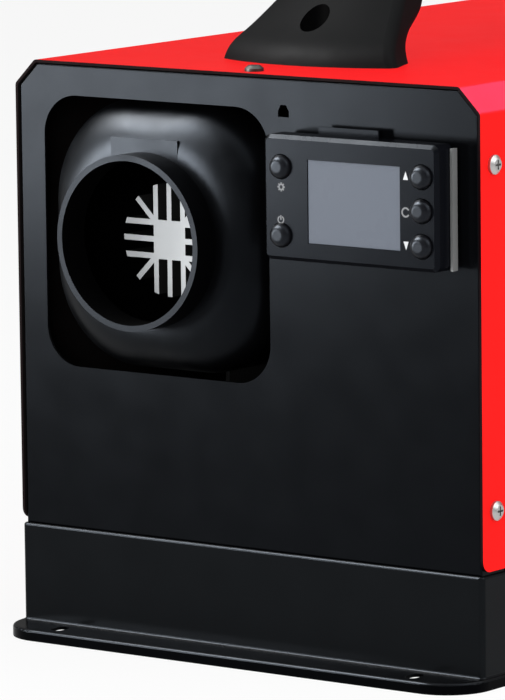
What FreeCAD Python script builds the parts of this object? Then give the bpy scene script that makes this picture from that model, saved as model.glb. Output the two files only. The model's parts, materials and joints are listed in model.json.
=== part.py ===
import FreeCAD, Part
import math
import os
from types import SimpleNamespace

import Sketcher
from FreeCAD import Placement, Rotation, Vector

# A portable diesel air heater: a red steel case on a black base, with the burner, fan and tank inside.
# Millimetres. X to the right seen from the front, +Y to the back, +Z up, origin on the floor at the centre.

DIMENSIONS = [
    ("shell_width", 240, "case, side to side"),
    ("body_depth", 400, "front panel face to rear panel face"),
    ("shell_top", 246, "top of the case above the floor"),
    ("shell_chamfer", 10.5, "corner flat along the top of the case"),
    ("shell_proud", 1, "shell edge in front of the panel face"),
    ("shell_corner", 5, "rounding of the shell's lower corners"),
    ("fold_radius", 2.4, "outside of the shell's folds"),
    ("sheet", 1.2, "steel sheet"),
    ("sheet_gap", 0.3, "air between nested sheets"),
    ("seam_gap", 1.6, "reveal between the base box and the shell"),
    ("base_top", 46.8, "deck above the floor"),
    ("base_proud", 1.5, "base box in front of the panel face"),
    ("base_corner", 2.2, "upright corners of the base box"),
    ("base_edge", 1.1, "rounded top edge of the base box"),
    ("lip_height", 4.8, "turned-down lip of the base plate"),
    ("flange_reach", 20, "base plate in front of the panel face"),
    ("flange_side", 1.5, "base plate beyond the shell's sides"),
    ("flange_corner", 20, "corners of the base plate"),
    ("slot_side", 29, "slot centre from the plate's side"),
    ("slot_inset", 9, "slot centre from the plate's front or rear edge"),
    ("slot_width", 5.5, "mounting slot"),
    ("slot_length", 9.5, "mounting slot, end to end"),
    ("panel_flange", 16, "turned-back rim of the panels"),
    ("panel_edge", 0.9, "rounded front edge of the panels"),
    ("opening_side", 2.1, "outlet opening beside the heater casing"),
    ("opening_rise", 0.7, "outlet opening above the heater casing"),
    ("opening_corner", 17, "outlet opening"),
    ("arch_x", 20.8, "small arched hole"),
    ("arch_drop", 17.3, "foot of the small arched hole below the case top"),
    ("arch_width", 5.6, "small arched hole"),
    ("arch_height", 5, "small arched hole"),
    ("screw_inset", 8, "case screws from the panel face"),
    ("screw_drop", 31.6, "upper side screws below the case top"),
    ("screw_rise", 26.3, "lower side screws above the deck"),
    ("screw_radius", 2, "case screw shank"),
    ("screw_length", 6, "case screw shank"),
    ("screw_head", 4, "case screw head radius"),
    ("screw_head_height", 2.4, "case screw head"),
    ("screw_crown", 2.5, "flat top of a screw head, radius"),
    ("recess_half", 2, "cross recess of a screw, centre to tip"),
    ("recess_width", 0.9, "cross recess of a screw"),
    ("recess_depth", 1.5, "cross recess of a screw"),
    ("screw_slack", 0.2, "shank to hole"),
    ("axis_side", 73.7, "heater axis from the case's left side"),
    ("axis_drop", 72, "heater axis below the case top"),
    ("case_half", 57, "heater casing, axis to flat"),
    ("case_corner", 40, "heater casing corners"),
    ("case_wall", 2.5, "heater casing"),
    ("case_front", 20, "casing behind the panel face"),
    ("case_rear", 35, "rear end of the casing ahead of the rear panel"),
    ("hood_shoulder", 15, "where the hood starts to curve, behind the panel face"),
    ("hood_nose", 7.5, "root of the collar in front of the panel face"),
    ("collar_radius", 37, "hot air collar, outside"),
    ("collar_wall", 2.5, "hot air collar"),
    ("collar_step", 1, "dome beyond the collar at its root"),
    ("collar_reach", 20, "collar mouth in front of the panel face"),
    ("tab_width", 35, "raised tab on the hood"),
    ("tab_top", 42.6, "raised tab above the axis"),
    ("nose_behind", 9, "exchanger nose behind the panel face"),
    ("nose_drop", 1.8, "exchanger axis below the casing axis"),
    ("nose_radius", 24, "reach of the nose fins"),
    ("nose_block", 7, "half of the square core of the nose"),
    ("nose_pitch", 7.1, "fins of the nose"),
    ("nose_fin", 2.4, "fin thickness"),
    ("core_radius", 36, "exchanger body"),
    ("core_bore", 28, "exchanger body, inside"),
    ("core_length", 135, "exchanger body"),
    ("fin_clear", 10.5, "exchanger fins inside the casing's outside"),
    ("fin_thick", 2.6, "exchanger fin"),
    ("fin_count", 20, "exchanger fins"),
    ("burner_radius", 25, "burner tube"),
    ("burner_wall", 1.2, "burner tube"),
    ("burner_reach", 105, "burner tube length"),
    ("flange_thick", 10, "burner flange"),
    ("flange_radius", 40, "burner flange"),
    ("blower_clear", 12, "combustion blower inside the casing's outside"),
    ("blower_length", 38, "combustion blower housing"),
    ("blower_wall", 6, "combustion blower housing"),
    ("cover_thick", 4, "blower cover"),
    ("impeller_clear", 4, "combustion impeller inside its housing"),
    ("impeller_height", 15, "combustion impeller"),
    ("impeller_vanes", 12, "combustion impeller"),
    ("motor_radius", 23, "motor can"),
    ("motor_length", 54, "motor can"),
    ("shaft_radius", 3, "motor shaft"),
    ("shaft_slack", 0.05, "shaft to bearing"),
    ("fan_clear", 7, "hot air fan inside the casing's outside"),
    ("fan_inset", 6, "hot air fan ahead of the casing's rear end"),
    ("fan_hub", 15, "hot air fan hub"),
    ("fan_depth", 24, "hot air fan"),
    ("fan_gap", 9, "fan behind the motor"),
    ("fan_blades", 7, "hot air fan"),
    ("blade_thick", 1.8, "fan blade"),
    ("blade_pitch", 40, "fan blade angle"),
    ("foot_half", 34, "casing foot, axis to side"),
    ("mount_inset", 165, "middle of the heater mount ahead of the casing's rear end"),
    ("foot_reach", 75, "casing foot, middle to end"),
    ("foot_bite", 7, "casing foot top above the casing's underside"),
    ("foot_below", 2, "casing foot underside below the casing"),
    ("gasket_thick", 3, "heater gasket"),
    ("bracket_sheet", 2, "heater bracket"),
    ("bracket_half", 52, "heater bracket, axis to leg"),
    ("bracket_reach", 85, "heater bracket, middle to end"),
    ("bracket_foot", 12, "foot flange of the bracket"),
    ("stud_x", 27, "casing studs from the axis"),
    ("stud_y", 65, "casing studs from the middle"),
    ("stud_radius", 3, "casing studs"),
    ("stud_length", 24, "casing studs"),
    ("nut_radius", 5.75, "stud nut over corners"),
    ("nut_height", 5, "stud nut"),
    ("port_offset", 17, "exhaust and intake from the axis"),
    ("exhaust_inset", 64, "exhaust ahead of the exchanger's rear end"),
    ("intake_inset", 14, "intake behind the blower's front"),
    ("port_boss", 13, "boss of each port"),
    ("port_drop", 17, "end of the spigots below the casing foot"),
    ("spigot_slack", 0.1, "spigot to pipe"),
    ("exhaust_radius", 12, "exhaust pipe, outside"),
    ("exhaust_wall", 1, "exhaust pipe"),
    ("intake_radius", 12.5, "intake hose, outside"),
    ("intake_wall", 2.5, "intake hose"),
    ("pipe_lap", 9, "pipe over its spigot"),
    ("pipe_bend", 26, "bend of both pipes"),
    ("pipe_z", 26, "height of the pipe outlets"),
    ("pipe_end", 20, "pipe outlets behind the panel face"),
    ("bead_gap", 1.5, "stop bead of a pipe behind the base box"),
    ("bead_width", 1.5, "stop bead of a pipe"),
    ("bead_height", 1, "stop bead of a pipe"),
    ("pipe_clear", 4, "deck hole around a pipe"),
    ("wall_clear", 0.4, "wall hole around a pipe"),
    ("clamp_width", 7, "hose clamp band"),
    ("clamp_thick", 1.2, "hose clamp band"),
    ("fuel_radius", 2, "fuel spigot"),
    ("fuel_hose", 3.4, "fuel hose, outside"),
    ("fuel_bend", 12, "bends of the fuel hoses"),
    ("fuel_tight_bend", 8, "bends of the tank's fuel hose"),
    ("fuel_turn", 25, "hose runs before a bend"),
    ("fuel_x", 25, "burner fuel inlet from the axis"),
    ("fuel_drop", 15, "end of the fuel inlet below the casing foot"),
    ("plug_radius", 4.5, "glow plug"),
    ("unit_half", 30, "control unit"),
    ("unit_height", 17, "control unit"),
    ("unit_length", 42, "control unit"),
    ("grille_clear", 5, "air inlet inside the casing's outside"),
    ("grille_rim", 6, "grille flange around the opening"),
    ("grille_thick", 2.5, "grille"),
    ("grille_bars", 9, "grille bars"),
    ("grille_bar", 3, "grille bar"),
    ("duct_wall", 2, "air inlet duct"),
    ("tank_gap", 14.3, "fuel tank beside the heater casing"),
    ("tank_side", 10, "fuel tank from the case's right side"),
    ("tank_front", 50, "fuel tank behind the front panel face"),
    ("tank_rear", 32, "fuel tank ahead of the rear panel face"),
    ("tank_drop", 60, "fuel tank below the case top"),
    ("tank_round", 14, "fuel tank corners"),
    ("tank_wall", 3, "fuel tank"),
    ("strap_width", 18, "tank strap"),
    ("strap_thick", 1.2, "tank strap"),
    ("strap_y", 80, "tank straps from the middle"),
    ("outlet_gap", 22, "tank outlet ahead of the filter"),
    ("outlet_reach", 9, "tank outlet spigot"),
    ("filler_inset", 34, "filler ahead of the tank's rear end"),
    ("neck_radius", 20, "filler neck, outside"),
    ("neck_wall", 3, "filler neck"),
    ("neck_rise", 13, "filler neck above the case top"),
    ("neck_flange", 27, "filler neck flange radius"),
    ("grommet_radius", 25.5, "filler grommet"),
    ("grommet_lip", 2, "filler grommet lips"),
    ("cap_radius", 27, "fuel cap"),
    ("cap_gap", 1, "fuel cap above the grommet"),
    ("cap_slack", 0.4, "fuel cap around the neck"),
    ("cap_wall", 3.5, "fuel cap"),
    ("cap_ribs", 24, "fuel cap grip"),
    ("cap_rib", 1, "radius of a grip rib"),
    ("seal_thick", 2, "fuel cap seal"),
    ("pump_rise", 20, "fuel pump axis above the deck"),
    ("pump_radius", 14, "fuel pump"),
    ("pump_inset", 108, "fuel pump's front ahead of the rear panel face"),
    ("pump_length", 72, "fuel pump"),
    ("pump_bore", 5, "fuel pump plunger bore"),
    ("plunger_length", 34, "fuel pump plunger"),
    ("plunger_stroke", 3, "fuel pump plunger"),
    ("plunger_slack", 0.05, "plunger to bore"),
    ("pump_tip", 8, "fuel pump spigots"),
    ("clamp_ring", 2.5, "pump clamp"),
    ("clamp_length", 20, "pump clamp"),
    ("clamp_half", 11, "pump clamp pedestal"),
    ("filter_radius", 9, "fuel filter"),
    ("filter_length", 36, "fuel filter"),
    ("filter_gap", 25, "fuel filter beside the tank"),
    ("filter_inset", 78, "fuel filter's front ahead of the rear panel face"),
    ("socket_side", 50, "power socket from the case's right side"),
    ("socket_rise", 35.2, "power socket above the deck"),
    ("socket_half", 13, "power socket flange"),
    ("socket_radius", 9.5, "power socket barrel"),
    ("socket_wall", 2, "power socket barrel"),
    ("socket_reach", 12, "power socket in front of the panel"),
    ("socket_depth", 16, "power socket behind the panel"),
    ("pin_radius", 1.6, "power socket pins"),
    ("pin_spacing", 7, "power socket pins"),
    ("control_side", 10.8, "controller from the case's right side"),
    ("control_gap", 11.3, "controller beside the heater casing"),
    ("control_drop", 22.5, "controller below the case top"),
    ("control_height", 51.5, "controller"),
    ("control_front", 16, "controller face in front of the panel"),
    ("control_split", 8, "controller halves, from the panel"),
    ("control_corner", 3, "controller corners"),
    ("control_bevel", 1.6, "controller face bevel"),
    ("control_wall", 1.8, "controller walls"),
    ("window_side", 22.6, "display window from the controller's left side"),
    ("window_end", 18.6, "display window from the controller's right side"),
    ("window_rise", 7.9, "display window above the controller's underside"),
    ("window_height", 34.1, "display window"),
    ("window_gap", 0.15, "window to bezel"),
    ("window_sunk", 0.5, "window below the bezel face"),
    ("lcd_margin", 2.5, "display module around the window"),
    ("lcd_thick", 4, "display module"),
    ("board_thick", 1.6, "controller board"),
    ("board_gap", 0.6, "controller board to walls"),
    ("button_left", 9.1, "left buttons from the controller's left side"),
    ("button_right", 7.7, "right buttons from the controller's right side"),
    ("button_high", 38.5, "upper buttons above the controller's underside"),
    ("button_mid", 24.7, "middle button above the controller's underside"),
    ("button_low", 10.4, "lower buttons above the controller's underside"),
    ("button_radius", 5, "button"),
    ("button_reach", 3.2, "button in front of the bezel"),
    ("button_dome", 3, "rounded end of a button"),
    ("button_slack", 0.3, "button to bezel"),
    ("button_flange", 0.7, "retaining flange of a button"),
    ("button_travel", 1.2, "button press"),
    ("bracket_flange", 7.4, "side flange of the controller bracket"),
    ("lug_side", 20.5, "top lug from the controller's left side"),
    ("lug_span", 30, "top lug of the controller bracket"),
    ("lug_rise", 3, "top lug above the controller"),
    ("plate_sheet", 1.2, "controller bracket"),
    ("pad_thick", 4, "rubber pad behind the controller bracket"),
    ("pad_inset", 3, "rubber pad inside the bracket's edges"),
    ("cable_radius", 2.5, "controller cable"),
    ("cable_hole", 4, "holes for the controller cable"),
    ("cable_bend", 6, "bends of the controller cable"),
    ("cable_side", 9, "controller cable beside the casing"),
    ("cable_over", 22, "controller cable above the tank"),
    ("cable_run", 40, "first run of the controller cable"),
    ("cable_slope", 100, "end of the cable's climb behind the panel face"),
    ("handle_front", 33, "handle foot behind the panel face"),
    ("handle_back", 105, "handle's rear foot ahead of the rear panel face"),
    ("handle_foot", 45.5, "half width of a handle foot"),
    ("handle_depth", 35, "handle foot, front to back"),
    ("foot_bow", 12, "bowed front of a handle foot"),
    ("foot_taper", 9.5, "narrowing of a handle foot, front to back, each side"),
    ("handle_rise", 53, "handle above the case"),
    ("handle_grip", 19, "half width of the grip"),
    ("handle_thick", 23, "grip, top to bottom"),
    ("grip_bow", 3, "crown of the grip"),
    ("grip_taper", 3, "narrowing of the grip, top to bottom, each side"),
    ("handle_round", 5, "rounding of the handle's long edges"),
    ("pocket_radius", 6.3, "screw pocket of a handle foot"),
    ("pocket_floor", 7, "handle under its screw head"),
    ("bolt_radius", 3, "handle screw"),
    ("bolt_head", 5, "handle screw head radius"),
    ("bolt_head_height", 4, "handle screw head"),
    ("bolt_length", 18, "handle screw"),
]

doc = FreeCAD.newDocument("air_heater")
sheet = doc.addObject("Spreadsheet::Sheet", "Sizes")
for row, (alias, value, note) in enumerate(DIMENSIONS, start=1):
    sheet.set(f"A{row}", note)
    sheet.set(f"B{row}", str(value))
    sheet.setAlias(f"B{row}", alias)
doc.recompute()


class Size:
    """A number together with the sheet expression that gives it, so that it can be bound."""

    def __init__(self, text, value):
        self.text = text
        self.value = float(value)

    def __add__(self, other):
        other = size(other)
        return Size(f"({self.text} + {other.text})", self.value + other.value)

    def __sub__(self, other):
        other = size(other)
        return Size(f"({self.text} - {other.text})", self.value - other.value)

    def __mul__(self, other):
        other = size(other)
        return Size(f"({self.text} * {other.text})", self.value * other.value)

    def __truediv__(self, other):
        other = size(other)
        return Size(f"({self.text} / {other.text})", self.value / other.value)

    def __neg__(self):
        return Size(f"(0 - {self.text})", -self.value)

    __radd__ = __add__
    __rmul__ = __mul__


def size(number):
    if isinstance(number, Size):
        return number
    return Size(f"({float(number)!r})", number)


d = SimpleNamespace(**{alias: Size(f"Sizes.{alias}", sheet.get(alias)) for alias, _, _ in DIMENSIONS})


def bind(thing, prop, number):
    thing.setExpression(prop, size(number).text)


# Primitives, each bound to the sheet

TURNS = {
    "X": Rotation(Vector(0, 1, 0), 90),
    "Y": Rotation(Vector(1, 0, 0), -90),
    "Z": Rotation(),
    "-X": Rotation(Vector(0, 1, 0), -90),
    "-Y": Rotation(Vector(1, 0, 0), 90),
    "-Z": Rotation(Vector(1, 0, 0), 180),
}


def place(thing, x, y, z):
    for axis, number in zip("xyz", (x, y, z)):
        bind(thing, f"Placement.Base.{axis}", number)
    return thing


def box(x, y, z):
    """A block from the low to the high value of each axis."""
    block = doc.addObject("Part::Box", "Block")
    for prop, (low, high) in zip(("Length", "Width", "Height"), (x, y, z)):
        bind(block, prop, size(high) - low)
    return place(block, x[0], y[0], z[0])


def along(axis, at, start):
    """The point at `start` on a line along `axis` that passes through the two other coordinates `at`."""
    one, two = at
    return {"X": (start, one, two), "Y": (one, start, two), "Z": (one, two, start)}[axis[-1]]


def rod(axis, at, span, radius):
    """A cylinder along an axis, from the low to the high end of its span."""
    low, high = span
    round_bar = doc.addObject("Part::Cylinder", "Rod")
    bind(round_bar, "Radius", radius)
    bind(round_bar, "Height", size(high) - low)
    round_bar.Placement = Placement(Vector(), TURNS[axis])
    return place(round_bar, *along(axis, at, low))


def cone(axis, at, start, length, radius, end_radius):
    """A cone that starts on the point of its axis and runs in the axis's direction."""
    taper = doc.addObject("Part::Cone", "Taper")
    bind(taper, "Radius1", radius)
    bind(taper, "Radius2", end_radius)
    bind(taper, "Height", length)
    taper.Placement = Placement(Vector(), TURNS[axis])
    return place(taper, *along(axis, at, start))


def hexagon(axis, at, start, radius, height):
    nut = doc.addObject("Part::Prism", "Hexagon")
    nut.Polygon = 6
    bind(nut, "Circumradius", radius)
    bind(nut, "Height", height)
    nut.Placement = Placement(Vector(), TURNS[axis])
    return place(nut, *along(axis, at, start))


def fuse(*shapes):
    if len(shapes) == 1:
        return shapes[0]
    joined = doc.addObject("Part::MultiFuse", "Joined")
    joined.Shapes = list(shapes)
    return joined


def cut(base, *tools):
    result = doc.addObject("Part::Cut", "Cut")
    result.Base = base
    result.Tool = fuse(*tools)
    return result


def common(one, two):
    shared = doc.addObject("Part::MultiCommon", "Shared")
    shared.Shapes = [one, two]
    return shared


def group(*shapes):
    """Separate solids that share one node."""
    together = doc.addObject("Part::Compound", "Group")
    together.Links = list(shapes)
    return together


def tube(axis, at, span, radius, bore):
    return cut(rod(axis, at, span, radius), rod(axis, at, span, bore))


def turned(thing, axis, at, degrees):
    """A copy of a shape, turned about an axis line."""
    copy = doc.addObject("Part::Compound", "Turned")
    copy.Links = [thing]
    angle = math.radians(degrees)
    one, two = at
    direction = {"Y": Vector(0, 1, 0), "Z": Vector(0, 0, 1)}[axis]
    copy.Placement = Placement(Vector(), Rotation(direction, degrees))
    across = one * (1 - math.cos(angle))
    other = two * (1 - math.cos(angle))
    if axis == "Y":
        return place(copy, across - two * math.sin(angle), 0, other + one * math.sin(angle))
    return place(copy, across + two * math.sin(angle), other - one * math.sin(angle), 0)


def rounded(base, radius, wanted, kind="Part::Fillet"):
    """Rounds or bevels the edges that `wanted` accepts by their middle point and direction."""
    doc.recompute()
    edges = []
    for number, edge in enumerate(base.Shape.Edges, start=1):
        start, end = edge.FirstParameter, edge.LastParameter
        if wanted(edge.valueAt((start + end) / 2), edge.tangentAt((start + end) / 2), edge):
            edges.append((number, radius.value, radius.value))
    soft = doc.addObject(kind, "Rounded")
    soft.Base = base
    soft.Edges = edges
    return soft


# Sketches

def fix(sketch, kind, *where):
    """A dimension of a sketch, bound to the sheet."""
    *places, number = where
    index = sketch.addConstraint(Sketcher.Constraint(kind, *places, number.value))
    sketch.setExpression(f"Constraints[{index}]", number.text)


def fix_point(sketch, line, x, y):
    fix(sketch, "DistanceX", -1, 1, line, 1, x)
    fix(sketch, "DistanceY", -1, 1, line, 1, y)


def polygon(sketch, points):
    points = [(size(x), size(y)) for x, y in points]
    count = len(points)
    first = sketch.GeometryCount
    for here, there in zip(points, points[1:] + points[:1]):
        start = Vector(here[0].value, here[1].value, 0)
        end = Vector(there[0].value, there[1].value, 0)
        sketch.addGeometry(Part.LineSegment(start, end), False)
    for index, (x, y) in enumerate(points):
        after = first + (index + 1) % count
        sketch.addConstraint(Sketcher.Constraint("Coincident", first + index, 2, after, 1))
        fix_point(sketch, first + index, x, y)


def rounded_rectangle(sketch, x, y, radius):
    (left, right), (bottom, top) = x, y
    left, right, bottom, top, radius = (size(number) for number in (left, right, bottom, top, radius))
    first = sketch.GeometryCount
    corner = radius.value
    inner_x = (left.value + corner, right.value - corner)
    inner_y = (bottom.value + corner, top.value - corner)
    sides = [
        ((inner_x[0], bottom.value), (inner_x[1], bottom.value), (inner_x[1], inner_y[0]), -90),
        ((right.value, inner_y[0]), (right.value, inner_y[1]), (inner_x[1], inner_y[1]), 0),
        ((inner_x[1], top.value), (inner_x[0], top.value), (inner_x[0], inner_y[1]), 90),
        ((left.value, inner_y[1]), (left.value, inner_y[0]), (inner_x[0], inner_y[0]), 180),
    ]
    for start, end, centre, angle in sides:
        sketch.addGeometry(Part.LineSegment(Vector(*start, 0), Vector(*end, 0)), False)
        circle = Part.Circle(Vector(*centre, 0), Vector(0, 0, 1), corner)
        sketch.addGeometry(Part.ArcOfCircle(circle, math.radians(angle), math.radians(angle + 90)), False)
    for step in range(8):
        sketch.addConstraint(Sketcher.Constraint("Tangent", first + step, 2, first + (step + 1) % 8, 1))
    for line, way in ((0, "Horizontal"), (2, "Vertical"), (4, "Horizontal"), (6, "Vertical")):
        sketch.addConstraint(Sketcher.Constraint(way, first + line))
    for arc in (3, 5, 7):
        sketch.addConstraint(Sketcher.Constraint("Equal", first + 1, first + arc))
    fix(sketch, "Radius", first + 1, radius)
    fix(sketch, "DistanceY", -1, 1, first, 1, bottom)
    fix(sketch, "DistanceX", -1, 1, first + 2, 1, right)
    fix(sketch, "DistanceY", -1, 1, first + 4, 1, top)
    fix(sketch, "DistanceX", -1, 1, first + 6, 1, left)


SKETCH_TURNS = {
    "XY": (Rotation(), Vector(0, 0, 1), "z"),
    "XZ": (Rotation(Vector(1, 0, 0), 90), Vector(0, 1, 0), "y"),
    "YZ": (Rotation(Vector(1, 1, 1), 120), Vector(1, 0, 0), "x"),
}


def flat_sketch(plane, level):
    """A sketch parallel to a plane of the frame, at a level along the plane's normal axis."""
    turn, _, axis = SKETCH_TURNS[plane]
    sketch = doc.addObject("Sketcher::SketchObject", "Profile")
    sketch.Placement = Placement(Vector(), turn)
    bind(sketch, f"Placement.Base.{axis}", level)
    return sketch


def slab(plane, span, draw, *outline):
    """A prism: an outline drawn on a plane, from the low to the high level."""
    low, high = span
    sketch = flat_sketch(plane, low)
    draw(sketch, *outline)
    prism = doc.addObject("Part::Extrusion", "Prism")
    prism.Base = sketch
    prism.DirMode = "Custom"
    prism.Dir = SKETCH_TURNS[plane][1]
    prism.Solid = True
    bind(prism, "LengthFwd", size(high) - low)
    return prism


class Body:
    """A part-design body with sketches on its own origin planes."""

    def __init__(self, name):
        self.body = doc.addObject("PartDesign::Body", name)

    def sketch(self, plane, level):
        sketch = self.body.newObject("Sketcher::SketchObject", "Profile")
        planes = {feature.Role: feature for feature in self.body.Origin.OriginFeatures}
        sketch.AttachmentSupport = [(planes[f"{plane}_Plane"], "")]
        sketch.MapMode = "FlatFace"
        bind(sketch, "AttachmentOffset.Base.z", level)
        return sketch

    def feature(self, kind, sketch, length=None, reverse=False):
        step = self.body.newObject(f"PartDesign::{kind}", kind)
        step.Profile = sketch
        step.Reversed = reverse
        if length is None:
            step.Type = "ThroughAll"
            step.SideType = "Symmetric"
        else:
            bind(step, "Length", length)
        return step

    def rounded(self, radius, wanted):
        doc.recompute()
        base = self.body.Tip
        names = []
        for number, edge in enumerate(base.Shape.Edges, start=1):
            middle = (edge.FirstParameter + edge.LastParameter) / 2
            if wanted(edge.valueAt(middle), edge.tangentAt(middle), edge):
                names.append(f"Edge{number}")
        step = self.body.newObject("PartDesign::Fillet", "Fillet")
        step.Base = (base, names)
        bind(step, "Radius", radius)


nodes = []


def node(name, shape):
    shape.Label = name
    nodes.append(shape)
    return shape


# Levels and faces that several pieces share

half_width = d.shell_width / 2
front = -d.body_depth / 2
rear = d.body_depth / 2
panel_top = d.shell_top - d.sheet - d.sheet_gap
shell_bottom = d.base_top + d.seam_gap
screw_rows = (front + d.screw_inset, rear - d.screw_inset)
screw_levels = (d.shell_top - d.screw_drop, d.base_top + d.screw_rise)
screw_hole = d.screw_radius + d.screw_slack
axis_x = d.axis_side - half_width
axis_z = d.shell_top - d.axis_drop
axis = (axis_x, axis_z)
core_axis = (axis_x, axis_z - d.nose_drop)
NEAR = 0.01

# The heater unit, from its rear end forwards

case_rear = rear - d.case_rear
fan_end = case_rear - d.fan_inset
fan_start = fan_end - d.fan_depth
motor_end = fan_start - d.fan_gap
motor_start = motor_end - d.motor_length
blower_face = motor_start - d.cover_thick - d.blower_length
mount_middle = case_rear - d.mount_inset
mount_rows = (mount_middle - d.stud_y, mount_middle + d.stud_y)
core_end = blower_face - d.flange_thick
core_start = core_end - d.core_length
exhaust_at = (axis_x - d.port_offset, core_end - d.exhaust_inset)
intake_at = (axis_x + d.port_offset, blower_face + d.intake_inset)
exhaust_bore = d.exhaust_radius - d.exhaust_wall
intake_bore = d.intake_radius - d.intake_wall


# Base plate and base box

def base_plate():
    half_x = half_width + d.flange_side
    half_y = rear + d.flange_reach
    plate = Body("base_plate_body")
    outline = plate.sketch("XY", 0)
    rounded_rectangle(outline, (-half_x, half_x), (-half_y, half_y), d.flange_corner)
    plate.feature("Pad", outline, d.lip_height)
    hollow = plate.sketch("XY", 0)
    inner_x = half_x - d.sheet
    inner_y = half_y - d.sheet
    rounded_rectangle(hollow, (-inner_x, inner_x), (-inner_y, inner_y), d.flange_corner - d.sheet)
    plate.feature("Pocket", hollow, d.lip_height - d.sheet, reverse=True)
    plate.rounded(d.sheet, lambda at, way, edge: abs(at.z - d.lip_height.value) < NEAR)
    tools = []
    run = (d.slot_length - d.slot_width) / 2
    depth = (0, d.lip_height + d.sheet)
    for x in (d.slot_side - half_x, half_x - d.slot_side):
        for y in (d.slot_inset - half_y, half_y - d.slot_inset):
            tools.append(box((x - d.slot_width / 2, x + d.slot_width / 2), (y - run, y + run), depth))
            tools.append(rod("Z", (x, y - run), depth, d.slot_width / 2))
            tools.append(rod("Z", (x, y + run), depth, d.slot_width / 2))
    node("base_plate", cut(plate.body, *tools))


bracket_screw_x = [axis_x + (d.bracket_half + d.bracket_foot / 2) * side for side in (-1, 1)]
bracket_screw_places = [(x, y) for x in bracket_screw_x for y in mount_rows]


def base_box():
    half_y = rear + d.base_proud
    shell = Body("base_box_body")
    outline = shell.sketch("XY", d.lip_height)
    rounded_rectangle(outline, (-half_width, half_width), (-half_y, half_y), d.base_corner)
    shell.feature("Pad", outline, d.base_top - d.lip_height)
    shell.rounded(d.base_edge, lambda at, way, edge: abs(at.z - d.base_top.value) < NEAR)
    hollow = shell.sketch("XY", d.lip_height)
    inner_x = half_width - d.sheet
    inner_y = half_y - d.sheet
    rounded_rectangle(hollow, (-inner_x, inner_x), (-inner_y, inner_y), d.base_corner - d.sheet)
    shell.feature("Pocket", hollow, d.base_top - d.lip_height - d.sheet, reverse=True)
    deck = (d.base_top - d.sheet * 2, d.base_top + d.sheet)
    wall = (half_y - d.sheet * 2, half_y + d.sheet)
    tools = [
        rod("Z", exhaust_at, deck, d.exhaust_radius + d.pipe_clear),
        rod("Z", intake_at, deck, d.intake_radius + d.pipe_clear),
        rod("Y", (exhaust_at[0], d.pipe_z), wall, d.exhaust_radius + d.wall_clear),
        rod("Y", (intake_at[0], d.pipe_z), wall, d.intake_radius + d.wall_clear),
    ]
    tools += [rod("Z", at, deck, screw_hole) for at in bracket_screw_places]
    whole = cut(shell.body, *tools)
    deck_zone = box((-inner_x, inner_x), (-inner_y, inner_y), (d.base_top - d.sheet, d.base_top))
    tail_x = half_width - d.base_corner
    tail_zone = box((-tail_x, tail_x), (inner_y, half_y), (d.lip_height, d.base_top))
    node("base_box", cut(whole, deck_zone, tail_zone))
    node("base_deck", common(whole, deck_zone))
    node("base_rear", common(whole, tail_zone))


# Case: shell, panels and screws

CHAMFER_SHRINK = 2 - math.sqrt(2)


def case_outline(inset, bottom):
    """The case's outline, seen from the front, moved inwards by an inset."""
    half = half_width - inset
    top = d.shell_top - inset
    chamfer = d.shell_chamfer - inset * CHAMFER_SHRINK
    left = [(-half, bottom), (-half, top - chamfer), (chamfer - half, top)]
    right = [(half - chamfer, top), (half, top - chamfer), (half, bottom)]
    return left + right


def at_folds(inset):
    """A test for the edges where the shell is folded, on its outside or its inside."""
    corners = [Vector(x.value, 0, z.value) for x, z in case_outline(inset, shell_bottom)[1:-1]]
    return lambda at, way, edge: abs(way.y) > 0.9 and any(
        (Vector(at.x, 0, at.z) - corner).Length < NEAR for corner in corners)


def outer_shell():
    shell = Body("outer_shell_body")
    profile = shell.sketch("XZ", -(rear + d.shell_proud))
    polygon(profile, case_outline(size(0), shell_bottom) + case_outline(d.sheet, shell_bottom)[::-1])
    shell.feature("Pad", profile, d.body_depth + d.shell_proud * 2)
    end = rear.value + d.shell_proud.value
    shell.rounded(d.shell_corner, lambda at, way, edge: (
        abs(way.x) > 0.9 and abs(abs(at.y) - end) < NEAR and abs(at.z - shell_bottom.value) < NEAR))
    shell.rounded(d.fold_radius, at_folds(size(0)))
    shell.rounded(d.fold_radius - d.sheet, at_folds(d.sheet))
    sides = (-half_width - d.sheet, half_width + d.sheet)
    roof = (d.shell_top - d.sheet * 2, d.shell_top + d.sheet)
    tools = [rod("X", (y, z), sides, screw_hole) for y in screw_rows for z in screw_levels]
    tools += [rod("Z", (0, y), roof, screw_hole) for y in screw_rows]
    tools += [rod("Z", (0, y), roof, d.bolt_radius + d.screw_slack) for y in bolt_rows]
    tools.append(rod("Z", filler, roof, grommet_waist))
    node("outer_shell", cut(shell.body, *tools))


def panel_pan(face, inner):
    """A pan with its face on one level and its rim turned towards the other, with holes for the screws."""
    rim = (face, inner) if face.value < inner.value else (inner, face)
    inset = d.sheet + d.sheet_gap
    blank = slab("XZ", rim, polygon, case_outline(inset, d.base_top))
    soft = rounded(blank, d.panel_edge, lambda at, way, edge: abs(at.y - face.value) < NEAR)
    back = d.sheet if face.value < inner.value else -d.sheet
    floor = (rim[0] + d.sheet, rim[1]) if face.value < inner.value else (rim[0], rim[1] - d.sheet)
    hollow = slab("XZ", floor, polygon, case_outline(inset + d.sheet, d.base_top + d.sheet))
    row = face + d.screw_inset if face.value < inner.value else face - d.screw_inset
    sides = (-half_width, half_width)
    tools = [hollow, rod("Z", (0, row), (panel_top - d.sheet * 2, d.shell_top), screw_hole)]
    tools += [rod("X", (row, z), sides, screw_hole) for z in screw_levels]
    return soft, tools, (face - back, face + back * 2) if back.value > 0 else (face + back * 2, face - back)


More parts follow.
